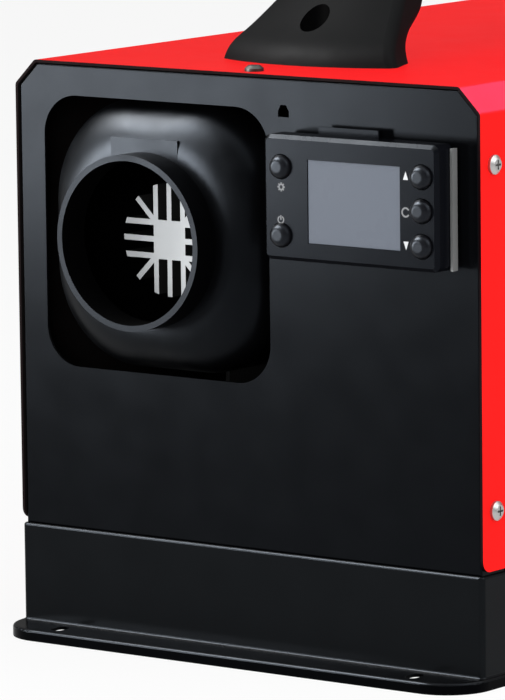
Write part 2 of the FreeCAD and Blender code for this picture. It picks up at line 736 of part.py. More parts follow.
control_right = half_width - d.control_side
control_left = axis_x + d.case_half + d.control_gap
control_top = d.shell_top - d.control_drop
control_bottom = control_top - d.control_height
cable_at = ((control_left + control_right) / 2, (control_bottom + control_top) / 2)


def front_panel():
    blank, tools, through = panel_pan(front, front + d.panel_flange)
    wide = grown((axis_x, axis_x), d.case_half + d.opening_side)
    tall = grown((axis_z, axis_z), d.case_half + d.opening_rise)
    tools.append(slab("XZ", through, rounded_rectangle, wide, tall, d.opening_corner))
    half = d.arch_width / 2
    foot = d.shell_top - d.arch_drop
    eave = foot + d.arch_height / 2
    peak = foot + d.arch_height
    arch = [
        (d.arch_x - half, foot),
        (d.arch_x + half, foot),
        (d.arch_x + half, eave),
        (d.arch_x + half / 2, peak),
        (d.arch_x - half / 2, peak),
        (d.arch_x - half, eave),
    ]
    tools.append(slab("XZ", through, polygon, arch))
    tools.append(rod("Y", cable_at, through, d.cable_hole))
    node("front_panel", cut(blank, *tools))


grille_radius = d.case_half - d.grille_clear
socket_at = (half_width - d.socket_side, d.base_top + d.socket_rise)


def rear_panel():
    blank, tools, through = panel_pan(rear, rear - d.panel_flange)
    tools.append(rod("Y", axis, through, grille_radius))
    tools.append(rod("Y", socket_at, through, d.socket_radius + d.screw_slack))
    whole = cut(blank, *tools)
    face = box((-half_width, half_width), (rear - d.sheet, rear), (d.base_top, d.shell_top))
    node("rear_panel", common(whole, face))
    node("rear_frame", cut(whole, face))


def screw(axis_name, at, seat):
    """A pan-head screw with a cross recess; the axis name points out of the sheet it holds."""
    sign = -1 if axis_name.startswith("-") else 1
    base = axis_name[-1]
    straight = d.screw_head_height / 2
    inner = seat - d.screw_length * sign
    crown = seat + straight * sign
    crest = seat + d.screw_head_height * sign
    floor = crest - d.recess_depth * sign
    shank_span = (inner, seat) if sign > 0 else (seat, inner)
    head_span = (seat, crown) if sign > 0 else (crown, seat)
    recess_span = (floor, crest) if sign > 0 else (crest, floor)
    whole = fuse(
        rod(base, at, shank_span, d.screw_radius),
        rod(base, at, head_span, d.screw_head),
        cone(axis_name, at, crown, straight, d.screw_head, d.screw_crown),
    )
    slim_half = d.recess_width / 2
    recesses = []
    for wide, slim in ((d.recess_half, slim_half), (slim_half, d.recess_half)):
        one = (at[0] - wide, at[0] + wide)
        two = (at[1] - slim, at[1] + slim)
        spans = {"X": (recess_span, one, two), "Y": (one, recess_span, two), "Z": (one, two, recess_span)}
        recesses.append(box(*spans[base]))
    return cut(whole, *recesses)


def shell_screws():
    screws = []
    for y in screw_rows:
        for z in screw_levels:
            screws.append(screw("X", (y, z), half_width))
            screws.append(screw("-X", (y, z), -half_width))
        screws.append(screw("Z", (size(0), y), d.shell_top))
    node("shell_screws", group(*screws))


# Handle

handle_length = d.body_depth - d.handle_front - d.handle_back
handle_middle = front + d.handle_front + handle_length / 2
bolt_reach = handle_length / 2 - d.handle_depth / 2
LEVEL = 90
bolt_rows = (handle_middle - bolt_reach, handle_middle + bolt_reach)


def handle_section(y, z, tilt, half, thick, bow, taper):
    """A section across the handle with a bowed front, tilted about the side-to-side axis."""
    sketch = doc.addObject("Sketcher::SketchObject", "Section")
    front_y = bow - thick / 2
    corners = [(-half, front_y), (half, front_y), (half - taper, thick / 2), (taper - half, thick / 2)]
    radius = (half * half + bow * bow) / (bow * 2)
    sweep = math.asin(half.value / radius.value)
    circle = Part.Circle(Vector(0, radius.value - thick.value / 2, 0), Vector(0, 0, 1), radius.value)
    down = -math.pi / 2
    sketch.addGeometry(Part.ArcOfCircle(circle, down - sweep, down + sweep), False)
    points = [Vector(x.value, y.value, 0) for x, y in corners]
    for here, there in ((1, 2), (2, 3), (3, 0)):
        sketch.addGeometry(Part.LineSegment(points[here], points[there]), False)
    for edge in range(4):
        sketch.addConstraint(Sketcher.Constraint("Coincident", edge, 2, (edge + 1) % 4, 1))
        fix_point(sketch, edge, *corners[edge])
    fix(sketch, "Radius", 0, radius)
    sketch.Placement = Placement(Vector(), Rotation(Vector(1, 0, 0), -tilt))
    return place(sketch, 0, y, z)


def carry_handle():
    grip_z = d.shell_top + d.handle_rise - d.handle_thick / 2
    lean = d.handle_rise - d.handle_thick
    spread = d.handle_foot - d.handle_grip
    climb = grip_z - d.shell_top
    # shares of the lean and climb, the tilt in degrees, shares of the foot's flare and depth
    stations = [
        (0, 0, 0, 1, 1),
        (0.32, 0.29, 0, 0.76, 1),
        (0.93, 0.58, 18, 0.47, 0.8),
        (1.45, 0.86, 50, 0.2, 0.2),
        (2.1, 1, LEVEL, 0, 0),
    ]
    sections = []
    for back, up, tilt, flare, depth in stations:
        half = d.handle_grip + spread * flare
        thick = d.handle_thick + (d.handle_depth - d.handle_thick) * depth
        bow = d.grip_bow + (d.foot_bow - d.grip_bow) * flare
        taper = d.grip_taper + (d.foot_taper - d.grip_taper) * flare
        level = d.shell_top + climb * up
        sections.append((bolt_rows[0] + lean * back, level, tilt, half, thick, bow, taper))
    mirrored = [(handle_middle * 2 - y, z, LEVEL * 2 - tilt, *rest) for y, z, tilt, *rest in sections]
    middle = [(handle_middle, *sections[-1][1:])]
    loft = doc.addObject("Part::Loft", "HandleLoft")
    loft.Sections = [handle_section(*section) for section in sections + middle + mirrored[::-1]]
    loft.Solid = True
    top = d.shell_top.value
    soft = rounded(loft, d.handle_round, lambda at, way, edge: at.z > top + NEAR)
    tools = []
    for y in bolt_rows:
        seat = d.shell_top + d.pocket_floor
        tools.append(rod("Z", (0, y), (seat, d.shell_top + d.handle_rise + d.pocket_floor), d.pocket_radius))
        tools.append(rod("Z", (0, y), (d.shell_top - d.sheet, seat), d.bolt_radius + d.screw_slack))
    node("carry_handle", cut(soft, *tools))


def handle_fasteners():
    seat = d.shell_top + d.pocket_floor
    screws = []
    nuts = []
    for y in bolt_rows:
        shank = rod("Z", (0, y), (seat - d.bolt_length, seat), d.bolt_radius)
        head = rod("Z", (0, y), (seat, seat + d.bolt_head_height), d.bolt_head)
        recess = hexagon("Z", (0, y), seat + d.bolt_head_height / 2, d.bolt_head / 2, d.bolt_head_height)
        screws.append(cut(fuse(shank, head), recess))
        under = d.shell_top - d.sheet
        nut = hexagon("Z", (0, y), under - d.nut_height, d.nut_radius, d.nut_height)
        nuts.append(cut(nut, rod("Z", (0, y), (under - d.nut_height, under), d.bolt_radius)))
    node("handle_screws", group(*screws))
    node("handle_nuts", group(*nuts))


# Controller

control_x = (control_left, control_right)
control_z = (control_bottom, control_top)
window_left = control_left + d.window_side
window_bottom = control_bottom + d.window_rise
window_x = (window_left, control_right - d.window_end)
window_z = (window_bottom, window_bottom + d.window_height)
control_face = front - d.control_front
control_joint = front - d.control_split
plate_back = front - d.pad_thick
control_back = plate_back - d.plate_sheet
plate_inside = control_face + d.control_wall
board_front = plate_inside + d.lcd_thick
left_column = control_left + d.button_left
right_column = control_right - d.button_right
BUTTONS = {
    "settings_button": (left_column, control_bottom + d.button_high),
    "power_button": (left_column, control_bottom + d.button_low),
    "up_button": (right_column, control_bottom + d.button_high),
    "ok_button": (right_column, control_bottom + d.button_mid),
    "down_button": (right_column, control_bottom + d.button_low),
}


def inset(span, amount):
    return (span[0] + amount, span[1] - amount)


def grown(span, amount):
    return (span[0] - amount, span[1] + amount)


def controller_bracket():
    plate_x = (control_left + d.control_bevel * 2, control_right + d.sheet_gap + d.plate_sheet)
    plate_z = inset(control_z, d.control_wall)
    plate = box(plate_x, (control_back, plate_back), plate_z)
    flange_x = (plate_x[1] - d.plate_sheet, plate_x[1])
    flange_z = (control_bottom, control_top - d.control_wall)
    flange = box(flange_x, (front - d.bracket_flange, plate_back), flange_z)
    lug_x = (control_left + d.lug_side, control_left + d.lug_side + d.lug_span)
    lug = box(lug_x, (control_back, plate_back), (plate_z[0], control_top + d.lug_rise))
    hole = rod("Y", cable_at, (control_back - d.sheet, front + d.sheet), d.cable_hole)
    node("controller_bracket", cut(fuse(plate, flange, lug), hole))
    pad = box(inset(plate_x, d.pad_inset), (plate_back, front), inset(plate_z, d.pad_inset))
    node("controller_pad", cut(pad, hole))


def controller_halves():
    outline = (rounded_rectangle, control_x, control_z, d.control_corner)
    back = slab("XZ", (control_joint, control_back), *outline)
    cavity_x = inset(control_x, d.control_wall)
    cavity_z = inset(control_z, d.control_wall)
    inner_round = d.control_corner - d.control_wall
    floor = control_back - d.control_wall
    cavity = slab("XZ", (control_joint, floor), rounded_rectangle, cavity_x, cavity_z, inner_round)
    boss_at = []
    for x in inset(cavity_x, d.control_corner * 2):
        for z in inset(cavity_z, d.control_corner):
            boss_at.append((x, z))
    bosses = [rod("Y", at, (board_front + d.board_thick, floor), d.control_wall) for at in boss_at]
    hole = rod("Y", cable_at, (floor - d.control_wall, control_back), d.cable_radius)
    node("controller_back_shell", cut(fuse(cut(back, cavity), *bosses), hole))

    face = slab("XZ", (control_face, control_joint), *outline)
    bevelled = rounded(face, d.control_bevel, lambda at, way, edge: (
        abs(at.y - control_face.value) < NEAR), "Part::Chamfer")
    hollow = slab("XZ", (plate_inside, control_joint), rounded_rectangle, cavity_x, cavity_z, inner_round)
    through = (control_face - d.control_wall, plate_inside + d.control_wall)
    tools = [hollow, box(grown(window_x, d.window_gap), through, grown(window_z, d.window_gap))]
    tools += [rod("Y", at, through, d.button_radius + d.button_slack) for at in BUTTONS.values()]
    node("controller_bezel", cut(bevelled, *tools))


def controller_insides():
    node("lcd_window", box(window_x, (control_face + d.window_sunk, plate_inside), window_z))
    module_x = grown(window_x, d.lcd_margin)
    module_z = grown(window_z, d.lcd_margin)
    node("lcd_module", box(module_x, (plate_inside, board_front), module_z))
    board_x = inset(control_x, d.control_wall + d.board_gap)
    board_z = inset(control_z, d.control_wall + d.board_gap)
    node("controller_board", box(board_x, (board_front, board_front + d.board_thick), board_z))


def buttons():
    for name, at in BUTTONS.items():
        crest = control_face - d.button_reach
        stop = plate_inside + d.button_slack
        barrel = rod("Y", at, (crest, stop), d.button_radius)
        dome = rounded(barrel, d.button_dome, lambda point, way, edge: (
            abs(point.y - crest.value) < NEAR and edge.Length > 1))
        flange = rod("Y", at, (stop, stop + d.button_flange), d.button_radius + d.button_flange)
        stem_end = board_front - d.button_travel - d.button_slack
        stem = rod("Y", at, (stop, stem_end), d.button_radius / 2)
        node(name, fuse(dome, flange, stem))


# Heater unit

case_face = front + d.case_front
case_split = axis_z
shoulder = front + d.hood_shoulder
nose = front - d.hood_nose
mouth = front - d.collar_reach


def casing_spans(half):
    return (axis_x - half, axis_x + half), (axis_z - half, axis_z + half)


HOOD_STATIONS = (0, 22, 44, 66, 90)


def hood_solid(shrink, span):
    """The hood's outer or inner form: a rounded square that domes over to the round collar."""
    start, end = span
    half = d.case_half - shrink
    corner = d.case_corner - shrink
    root = d.collar_radius - shrink + d.collar_step
    root_corner = root - d.collar_step / 2
    straight = slab("XZ", (shoulder, end), rounded_rectangle, *casing_spans(half), corner)
    sections = []
    for degrees in HOOD_STATIONS:
        turn = math.radians(degrees)
        level = shoulder - (shoulder - nose) * math.sin(turn) + shrink * math.sin(turn)
        sketch = flat_sketch("XZ", level)
        reach = root + (half - root) * math.cos(turn)
        round_reach = root_corner + (corner - root_corner) * math.cos(turn)
        rounded_rectangle(sketch, *casing_spans(reach), round_reach)
        sections.append(sketch)
    dome = doc.addObject("Part::Loft", "Dome")
    dome.Sections = sections
    dome.Solid = True
    collar = rod("Y", axis, (start, shoulder), d.collar_radius - shrink)
    return fuse(straight, dome, collar)


def outlet_hood():
    tab_x = (axis_x - d.tab_width / 2, axis_x + d.tab_width / 2)
    tab_z = (axis_z + d.collar_radius - d.collar_wall * 2, axis_z + d.tab_top)
    tab = box(tab_x, (nose, shoulder), tab_z)
    outer = fuse(hood_solid(size(0), (mouth, case_face)), tab)
    inner = hood_solid(d.collar_wall, (mouth - d.collar_wall, case_face + d.collar_wall))
    node("outlet_hood", cut(outer, inner))


foot_x = (axis_x - d.foot_half, axis_x + d.foot_half)
foot_y = (mount_middle - d.foot_reach, mount_middle + d.foot_reach)
foot_seat = axis_z - d.case_half + d.foot_bite
foot_under = axis_z - d.case_half - d.foot_below
gasket_under = foot_under - d.gasket_thick
bracket_under = gasket_under - d.bracket_sheet
spigot_end = foot_under - d.port_drop
fuel_end = foot_under - d.fuel_drop
studs = [(axis_x + d.stud_x * side, y) for side in (-1, 1) for y in mount_rows]
fuel_at = (axis_x - d.fuel_x, blower_face - d.flange_thick / 2)


def foot_holes(span):
    """Clearance through the foot for the ports, the fuel inlet and the studs."""
    holes = [
        rod("Z", exhaust_at, span, exhaust_bore + d.sheet_gap),
        rod("Z", intake_at, span, intake_bore + d.sheet_gap),
        rod("Z", fuel_at, span, d.fuel_radius + d.sheet_gap),
    ]
    return holes + [rod("Z", at, span, d.stud_radius + d.screw_slack) for at in studs]


unit_z = axis_z + d.motor_radius + d.sheet_gap
unit_y = (motor_start + d.sheet, motor_start + d.sheet + d.unit_length)
cable_in = ((unit_y[0] + unit_y[1]) / 2, unit_z + d.unit_height / 2)


def heater_case():
    length = (case_face, case_rear)
    outer = slab("XZ", length, rounded_rectangle, *casing_spans(d.case_half), d.case_corner)
    inner_half = d.case_half - d.case_wall
    inner = slab("XZ", length, rounded_rectangle, *casing_spans(inner_half), d.case_corner - d.case_wall)
    skin = cut(outer, inner)
    across = (axis_x - d.case_half * 2, axis_x + d.case_half * 2)
    along_y = grown(length, d.case_wall)
    upper = common(skin, box(across, along_y, (case_split, axis_z + d.case_half * 2)))
    entry_x = (axis_x + d.foot_half, axis_x + d.case_half * 2)
    entry = rod("X", cable_in, entry_x, d.cable_radius + d.sheet_gap)
    node("heater_upper_case", cut(upper, entry))
    lower = common(skin, box(across, along_y, (axis_z - d.case_half * 2, case_split)))
    foot = box(foot_x, foot_y, (foot_under, foot_seat))
    holes = foot_holes((foot_under - d.case_wall, foot_seat + d.case_wall))
    node("heater_lower_case", cut(fuse(lower, foot), *holes))


def exchanger_nose():
    """Three fins on each side of a square core and one on each diagonal, trimmed to a circle."""
    span = (front + d.nose_behind, core_start + d.nose_fin)
    x, z = core_axis
    reach = d.nose_radius + d.nose_fin
    bars = [box(grown((x, x), d.nose_block), span, grown((z, z), d.nose_block))]
    for step in (-1, 0, 1):
        offset = d.nose_pitch * step
        bars.append(box(grown((x + offset, x + offset), d.nose_fin / 2), span, grown((z, z), reach)))
        bars.append(box(grown((x, x), reach), span, grown((z + offset, z + offset), d.nose_fin / 2)))
    diagonal = box(grown((x, x), d.nose_fin / 2), span, grown((z, z), reach))
    bars += [turned(diagonal, "Y", core_axis, angle) for angle in (45, -45)]
    return common(fuse(*bars), rod("Y", core_axis, span, d.nose_radius))


def heat_exchanger():
    span = (core_start, core_end)
    core = rod("Y", core_axis, span, d.core_radius)
    x, z = core_axis
    fin_z = (z + d.core_radius - d.fin_thick, z + d.case_half - d.fin_clear)
    fin = box(grown((x, x), d.fin_thick / 2), span, fin_z)
    count = int(d.fin_count.value)
    fins = [turned(fin, "Y", core_axis, 360 / count * (step + 0.5)) for step in range(count)]
    boss = rod("Z", exhaust_at, (foot_seat, z - d.core_bore), d.port_boss)
    spigot = rod("Z", exhaust_at, (spigot_end, foot_seat), exhaust_bore)
    whole = fuse(exchanger_nose(), core, *fins, boss, spigot)
    bore = rod("Y", core_axis, (core_start + d.nose_fin * 3, core_end), d.core_bore)
    port = rod("Z", exhaust_at, (spigot_end, z), exhaust_bore - d.exhaust_wall * 2)
    node("heat_exchanger", cut(whole, bore, port))


def burner_tube():
    flange_y = (core_end, blower_face)
    flange = rod("Y", core_axis, flange_y, d.flange_radius)
    pipe = rod("Y", core_axis, (core_end - d.burner_reach, core_end), d.burner_radius)
    bore = rod("Y", core_axis, (core_end - d.burner_reach, core_end), d.burner_radius - d.burner_wall)
    throat = rod("Y", core_axis, flange_y, d.burner_radius / 3)
    inlet = rod("Z", fuel_at, (fuel_end, axis_z - d.burner_radius), d.fuel_radius)
    plug_y = (flange_y[0] + flange_y[1]) / 2
    seat = rod("Z", (axis_x, plug_y), (axis_z, axis_z + d.flange_radius), d.plug_radius / 3)
    node("burner_tube", fuse(cut(flange, throat, seat), cut(pipe, bore), inlet))


def glow_plug():
    at = (axis_x, (core_end + blower_face) / 2)
    seat = core_axis[1] + d.flange_radius
    stem = rod("Z", at, (axis_z + d.flange_radius / 2, seat), d.plug_radius / 3)
    head = hexagon("Z", at, seat, d.plug_radius, d.plug_radius)
    tip = rod("Z", at, (seat, seat + d.plug_radius * 2), d.plug_radius / 2)
    node("glow_plug", fuse(stem, head, tip))


impeller_back = blower_face + d.blower_wall + d.blower_wall / 2
blower_radius = d.case_half - d.blower_clear
chamber_radius = blower_radius - d.blower_wall
impeller_radius = chamber_radius - d.impeller_clear


def blower():
    span = (blower_face, blower_face + d.blower_length)
    cavity = (blower_face + d.blower_wall, span[1])
    body = rod("Y", core_axis, span, blower_radius)
    boss = rod("Z", intake_at, (foot_seat, core_axis[1] - impeller_radius), d.port_boss)
    spigot = rod("Z", intake_at, (spigot_end, foot_seat), intake_bore)
    whole = fuse(body, boss, spigot)
    chamber = rod("Y", core_axis, cavity, chamber_radius)
    throat = rod("Y", core_axis, grown(span, d.blower_wall), d.burner_radius / 3)
    port_z = (spigot_end, core_axis[1] - impeller_radius)
    port = rod("Z", intake_at, port_z, intake_bore - d.exhaust_wall * 2)
    node("blower_housing", cut(whole, chamber, throat, port))
    cover = rod("Y", core_axis, (span[1], motor_start), blower_radius)
    clearance = d.shaft_radius + d.shaft_slack
    node("blower_cover", cut(cover, rod("Y", core_axis, (span[1], motor_start), clearance)))
    can = rod("Y", core_axis, (motor_start, motor_end), d.motor_radius)
    node("blower_motor", cut(can, rod("Y", core_axis, (motor_start, motor_end), clearance)))


def rotor():
    node("motor_shaft", rod("Y", core_axis, (impeller_back, fan_end + d.shaft_radius), d.shaft_radius))

    x, z = core_axis
    disc_end = impeller_back + d.blade_thick
    disc = rod("Y", core_axis, (impeller_back, disc_end), impeller_radius)
    hub = rod("Y", core_axis, (impeller_back, impeller_back + d.impeller_height), d.shaft_radius * 3)
    vane_z = (z + d.shaft_radius * 5, z + impeller_radius)
    vane_y = (impeller_back, impeller_back + d.impeller_height)
    vane = box(grown((x, x), d.blade_thick / 2), vane_y, vane_z)
    count = int(d.impeller_vanes.value)
    vanes = [turned(vane, "Y", core_axis, 360 / count * step) for step in range(count)]
    envelope = rod("Y", core_axis, (impeller_back, motor_start), impeller_radius)
    trimmed = common(fuse(disc, hub, *vanes), envelope)
    bore = rod("Y", core_axis, (impeller_back, motor_start), d.shaft_radius)
    node("combustion_impeller", cut(trimmed, bore))

    fan_y = (fan_start, fan_end)
    fan_radius = d.case_half - d.fan_clear
    middle = (fan_start + fan_end) / 2
    fan_hub = rod("Y", core_axis, fan_y, d.fan_hub)
    blade_z = (d.fan_hub - d.blade_thick, fan_radius + d.blade_thick)
    blade = box((-d.blade_thick / 2, d.blade_thick / 2), (-d.fan_depth / 2, d.fan_depth / 2), blade_z)
    tilted = doc.addObject("Part::Compound", "Blade")
    tilted.Links = [blade]
    tilted.Placement = Placement(Vector(), Rotation(Vector(0, 0, 1), d.blade_pitch.value))
    place(tilted, x, middle, z)
    blade_count = int(d.fan_blades.value)
    blades = [turned(tilted, "Y", core_axis, 360 / blade_count * step) for step in range(blade_count)]
    wheel = common(fuse(fan_hub, *blades), rod("Y", core_axis, fan_y, fan_radius))
    node("air_fan_wheel", cut(wheel, rod("Y", core_axis, fan_y, d.shaft_radius)))


def control_unit():
    unit_x = grown((axis_x, axis_x), d.unit_half)
    case = box(unit_x, unit_y, (unit_z, unit_z + d.unit_height))
    soft = rounded(case, d.case_wall, lambda at, way, edge: abs(way.y) > 0.9)
    node("control_unit", soft)


def heater_support():
    pad = box(foot_x, foot_y, (gasket_under, foot_under))
    node("heater_gasket", cut(pad, *foot_holes((gasket_under - d.sheet, foot_under + d.sheet))))
    plate_x = grown((axis_x, axis_x), d.bracket_half)
    length = grown((mount_middle, mount_middle), d.bracket_reach)
    pieces = [box(plate_x, length, (bracket_under, gasket_under))]
    foot_z = (d.base_top, d.base_top + d.bracket_sheet)
    holes = foot_holes((bracket_under - d.sheet, gasket_under + d.sheet))
    fasteners = []
    for side in (-1, 1):
        face = axis_x + (d.bracket_half - d.bracket_sheet / 2) * side
        toe = axis_x + (d.bracket_half + d.bracket_foot / 2) * side
        pieces.append(box(grown((face, face), d.bracket_sheet / 2), length, (d.base_top, gasket_under)))
        pieces.append(box(grown((toe, toe), d.bracket_foot / 2), length, foot_z))
    for at in bracket_screw_places:
        holes.append(rod("Z", at, grown(foot_z, d.sheet / 2), screw_hole))
        fasteners.append(screw("Z", at, foot_z[1]))
    node("heater_bracket", cut(fuse(*pieces), *holes))
    node("bracket_screws", group(*fasteners))
    holders = []
    for at in studs:
        stud = rod("Z", at, (foot_seat - d.stud_length, foot_seat), d.stud_radius)
        nut = hexagon("Z", at, bracket_under - d.nut_height, d.nut_radius, d.nut_height)
        holders.append(fuse(stud, nut))
    node("heater_studs", group(*holders))


def air_inlet():
    through = (rear - d.sheet, rear + d.grille_thick)
    rim = rod("Y", axis, (rear, through[1]), grille_radius + d.grille_rim)
    plug = rod("Y", axis, through, grille_radius - d.sheet_gap)
    opening = grille_radius - d.grille_bar
    hole = rod("Y", axis, grown(through, d.sheet), opening)
    count = int(d.grille_bars.value)
    pitch = opening * 2 / (count + 1)
    bars = []
    bar_x = grown((axis_x, axis_x), opening + d.grille_bar / 2)
    for step in range(count):
        z = axis_z - opening + pitch * (step + 1)
        bars.append(box(bar_x, through, grown((z, z), d.grille_bar / 2)))
    post = box(grown((axis_x, axis_x), d.grille_bar / 2), through, grown((axis_z, axis_z), opening))
    lattice = common(fuse(post, *bars), rod("Y", axis, through, opening + d.grille_bar / 2))
    node("inlet_grille", fuse(cut(fuse(rim, plug), hole), lattice))
    duct = (case_rear, rear - d.sheet)
    seat = (case_rear, case_rear + d.duct_wall)
    plate = slab("XZ", seat, rounded_rectangle, *casing_spans(d.case_half), d.case_corner)
    flange = cut(plate, rod("Y", axis, duct, grille_radius))
    sleeve = tube("Y", axis, duct, grille_radius + d.duct_wall, grille_radius)
    node("inlet_duct", fuse(flange, sleeve))


# Pipes and hoses: straight runs joined by tangent arcs

def bent_solid(points, bend, radius):
    """A round bar along straight runs joined by tangent arcs of one radius."""
    edges = []
    start = points[0]
    for before, corner, after in zip(points, points[1:], points[2:]):
        way_in = (corner - before).normalize()
        way_out = (after - corner).normalize()
        turn = way_in.getAngle(way_out)
        setback = bend * math.tan(turn / 2)
        arc_start = corner - way_in * setback
        arc_end = corner + way_out * setback
        inwards = (way_out - way_in).normalize()
        middle = corner + inwards * (bend / math.cos(turn / 2) - bend)
        if (arc_start - start).Length > NEAR:
            edges.append(Part.LineSegment(start, arc_start).toShape())
        edges.append(Part.Arc(arc_start, middle, arc_end).toShape())
        start = arc_end
    edges.append(Part.LineSegment(start, points[-1]).toShape())
    path = Part.Wire(edges)
    ring = Part.Wire(Part.makeCircle(radius, points[0], points[1] - points[0]))
    bar = path.makePipeShell([ring], True, False)
    wanted = math.pi * radius ** 2 * path.Length
    print(f"bend {bend:.1f}, run {path.Length:.0f} mm, volume {bar.Volume / wanted:.4f} of the expected")
    return bar


def hose(points, bend, radius, bore=None):
    corners = [Vector(*(size(number).value for number in point)) for point in points]
    shape = bent_solid(corners, size(bend).value, radius.value)
    if bore is not None:
        shape = shape.cut(bent_solid(corners, size(bend).value, bore.value))
    run = doc.addObject("Part::Feature", "Hose")
    run.Shape = shape.Solids[0]
    return run


pipe_tail = rear + d.pipe_end


def pipes():
    top = spigot_end + d.pipe_lap
    stop = rear + d.base_proud + d.bead_gap
    for name, at, radius, wall in (
        ("exhaust_pipe", exhaust_at, d.exhaust_radius, d.exhaust_wall),
        ("intake_hose", intake_at, d.intake_radius, d.intake_wall),
    ):
        x, y = at
        points = [(x, y, top), (x, y, d.pipe_z), (x, pipe_tail, d.pipe_z)]
        bead = tube("Y", (x, d.pipe_z), (stop, stop + d.bead_width), radius + d.bead_height, radius)
        node(name, fuse(hose(points, d.pipe_bend, radius, radius - wall + d.spigot_slack), bead))
    band = (spigot_end, spigot_end + d.clamp_width)
    clamps = []
    for at, radius in ((exhaust_at, d.exhaust_radius), (intake_at, d.intake_radius)):
        ring = tube("Z", at, band, radius + d.clamp_thick, radius)
        x, y = at
        ear_x = (x + radius, x + radius + d.clamp_width)
        ear = box(ear_x, grown((y, y), d.clamp_thick * 2), band)
        clamps.append(fuse(ring, cut(ear, rod("Z", at, band, radius))))
    node("hose_clamps", group(*clamps))


# Fuel system

tank_x = (axis_x + d.case_half + d.tank_gap, half_width - d.tank_side)
tank_y = (front + d.tank_front, rear - d.tank_rear)
tank_z = (d.base_top, d.shell_top - d.tank_drop)
filler = ((tank_x[0] + tank_x[1]) / 2, tank_y[1] - d.filler_inset)
neck_top = d.shell_top + d.neck_rise
grommet_waist = d.neck_radius + d.grommet_lip
seal_top = neck_top + d.seal_thick
pump_front = rear - d.pump_inset
pump_back = pump_front + d.pump_length
pump_at = (axis_x, d.base_top + d.pump_rise)
filter_front = rear - d.filter_inset
filter_back = filter_front + d.filter_length
filter_at = (tank_x[0] - d.filter_gap, pump_at[1])
outlet_at = (filter_front - d.outlet_gap, pump_at[1])
outlet_tip = tank_x[0] - d.outlet_reach


def fuel_tank():
    outside = rounded(box(tank_x, tank_y, tank_z), d.tank_round, lambda at, way, edge: True)
    hollow = box(inset(tank_x, d.tank_wall), inset(tank_y, d.tank_wall), inset(tank_z, d.tank_wall))
    inside = rounded(hollow, d.tank_round - d.tank_wall, lambda at, way, edge: True)
    mouth_hole = rod("Z", filler, (tank_z[1] - d.tank_wall * 2, tank_z[1]), d.neck_radius - d.neck_wall)
    spigot = rod("X", outlet_at, (outlet_tip, tank_x[0] + d.tank_wall / 2), d.fuel_radius)
    drain = rod("X", outlet_at, (outlet_tip, tank_x[0] + d.tank_wall * 2), d.fuel_radius / 2)
    node("fuel_tank", cut(fuse(outside, spigot), inside, mouth_hole, drain))

    straps = []
    for y in (-d.strap_y, d.strap_y):
        band = grown((y, y), d.strap_width / 2)
        outer_x = grown(tank_x, d.strap_thick)
        under = d.base_top - d.tank_round * 2
        hoop_z = (under, tank_z[1] + d.strap_thick)
        hoop = slab("XZ", band, rounded_rectangle, outer_x, hoop_z, d.tank_round + d.strap_thick)
        core = slab("XZ", band, rounded_rectangle, tank_x, (under, tank_z[1]), d.tank_round)
        below = box(grown(outer_x, d.strap_width), band, (under - d.strap_width, d.base_top))
        straps.append(cut(hoop, core, below))
    node("tank_straps", group(*straps))


def filler_parts():
    bottom = tank_z[1]
    neck_bore = d.neck_radius - d.neck_wall
    pipe = rod("Z", filler, (bottom, neck_top), d.neck_radius)
    flange = rod("Z", filler, (bottom, bottom + d.neck_wall), d.neck_flange)
    bore = rod("Z", filler, (bottom, neck_top), neck_bore)
    node("filler_neck", cut(fuse(pipe, flange), bore))

    under = d.shell_top - d.sheet
    ring = fuse(
        rod("Z", filler, (under - d.grommet_lip, under), d.grommet_radius),
        rod("Z", filler, (under, d.shell_top), grommet_waist),
        rod("Z", filler, (d.shell_top, d.shell_top + d.grommet_lip), d.grommet_radius),
    )
    opening = rod("Z", filler, (under - d.grommet_lip, d.shell_top + d.grommet_lip), d.neck_radius)
    node("filler_grommet", cut(ring, opening))

    node("fuel_cap_seal", tube("Z", filler, (neck_top, seal_top), d.neck_radius, neck_bore))
    low = d.shell_top + d.grommet_lip + d.cap_gap
    high = seal_top + d.cap_wall
    skirt = d.cap_radius - d.cap_rib
    body = rounded(rod("Z", filler, (low, high), skirt), d.cap_rib * 2, lambda at, way, edge: (
        abs(at.z - high.value) < NEAR and edge.Length > 1))
    ribs = []
    for step in range(int(d.cap_ribs.value)):
        angle = 2 * math.pi * step / d.cap_ribs.value
        at = (filler[0] + skirt * math.cos(angle), filler[1] + skirt * math.sin(angle))
        ribs.append(rod("Z", at, (low, high - d.cap_rib * 3), d.cap_rib))
    x, y = filler
    grip_z = (high - d.cap_wall / 2, high + d.cap_wall)
    grip = box(grown((x, x), d.cap_wall), grown((y, y), d.neck_radius), grip_z)
    hollow = rod("Z", filler, (low, seal_top), d.neck_radius + d.cap_slack)
    node("fuel_cap", cut(fuse(body, grip, *ribs), hollow))


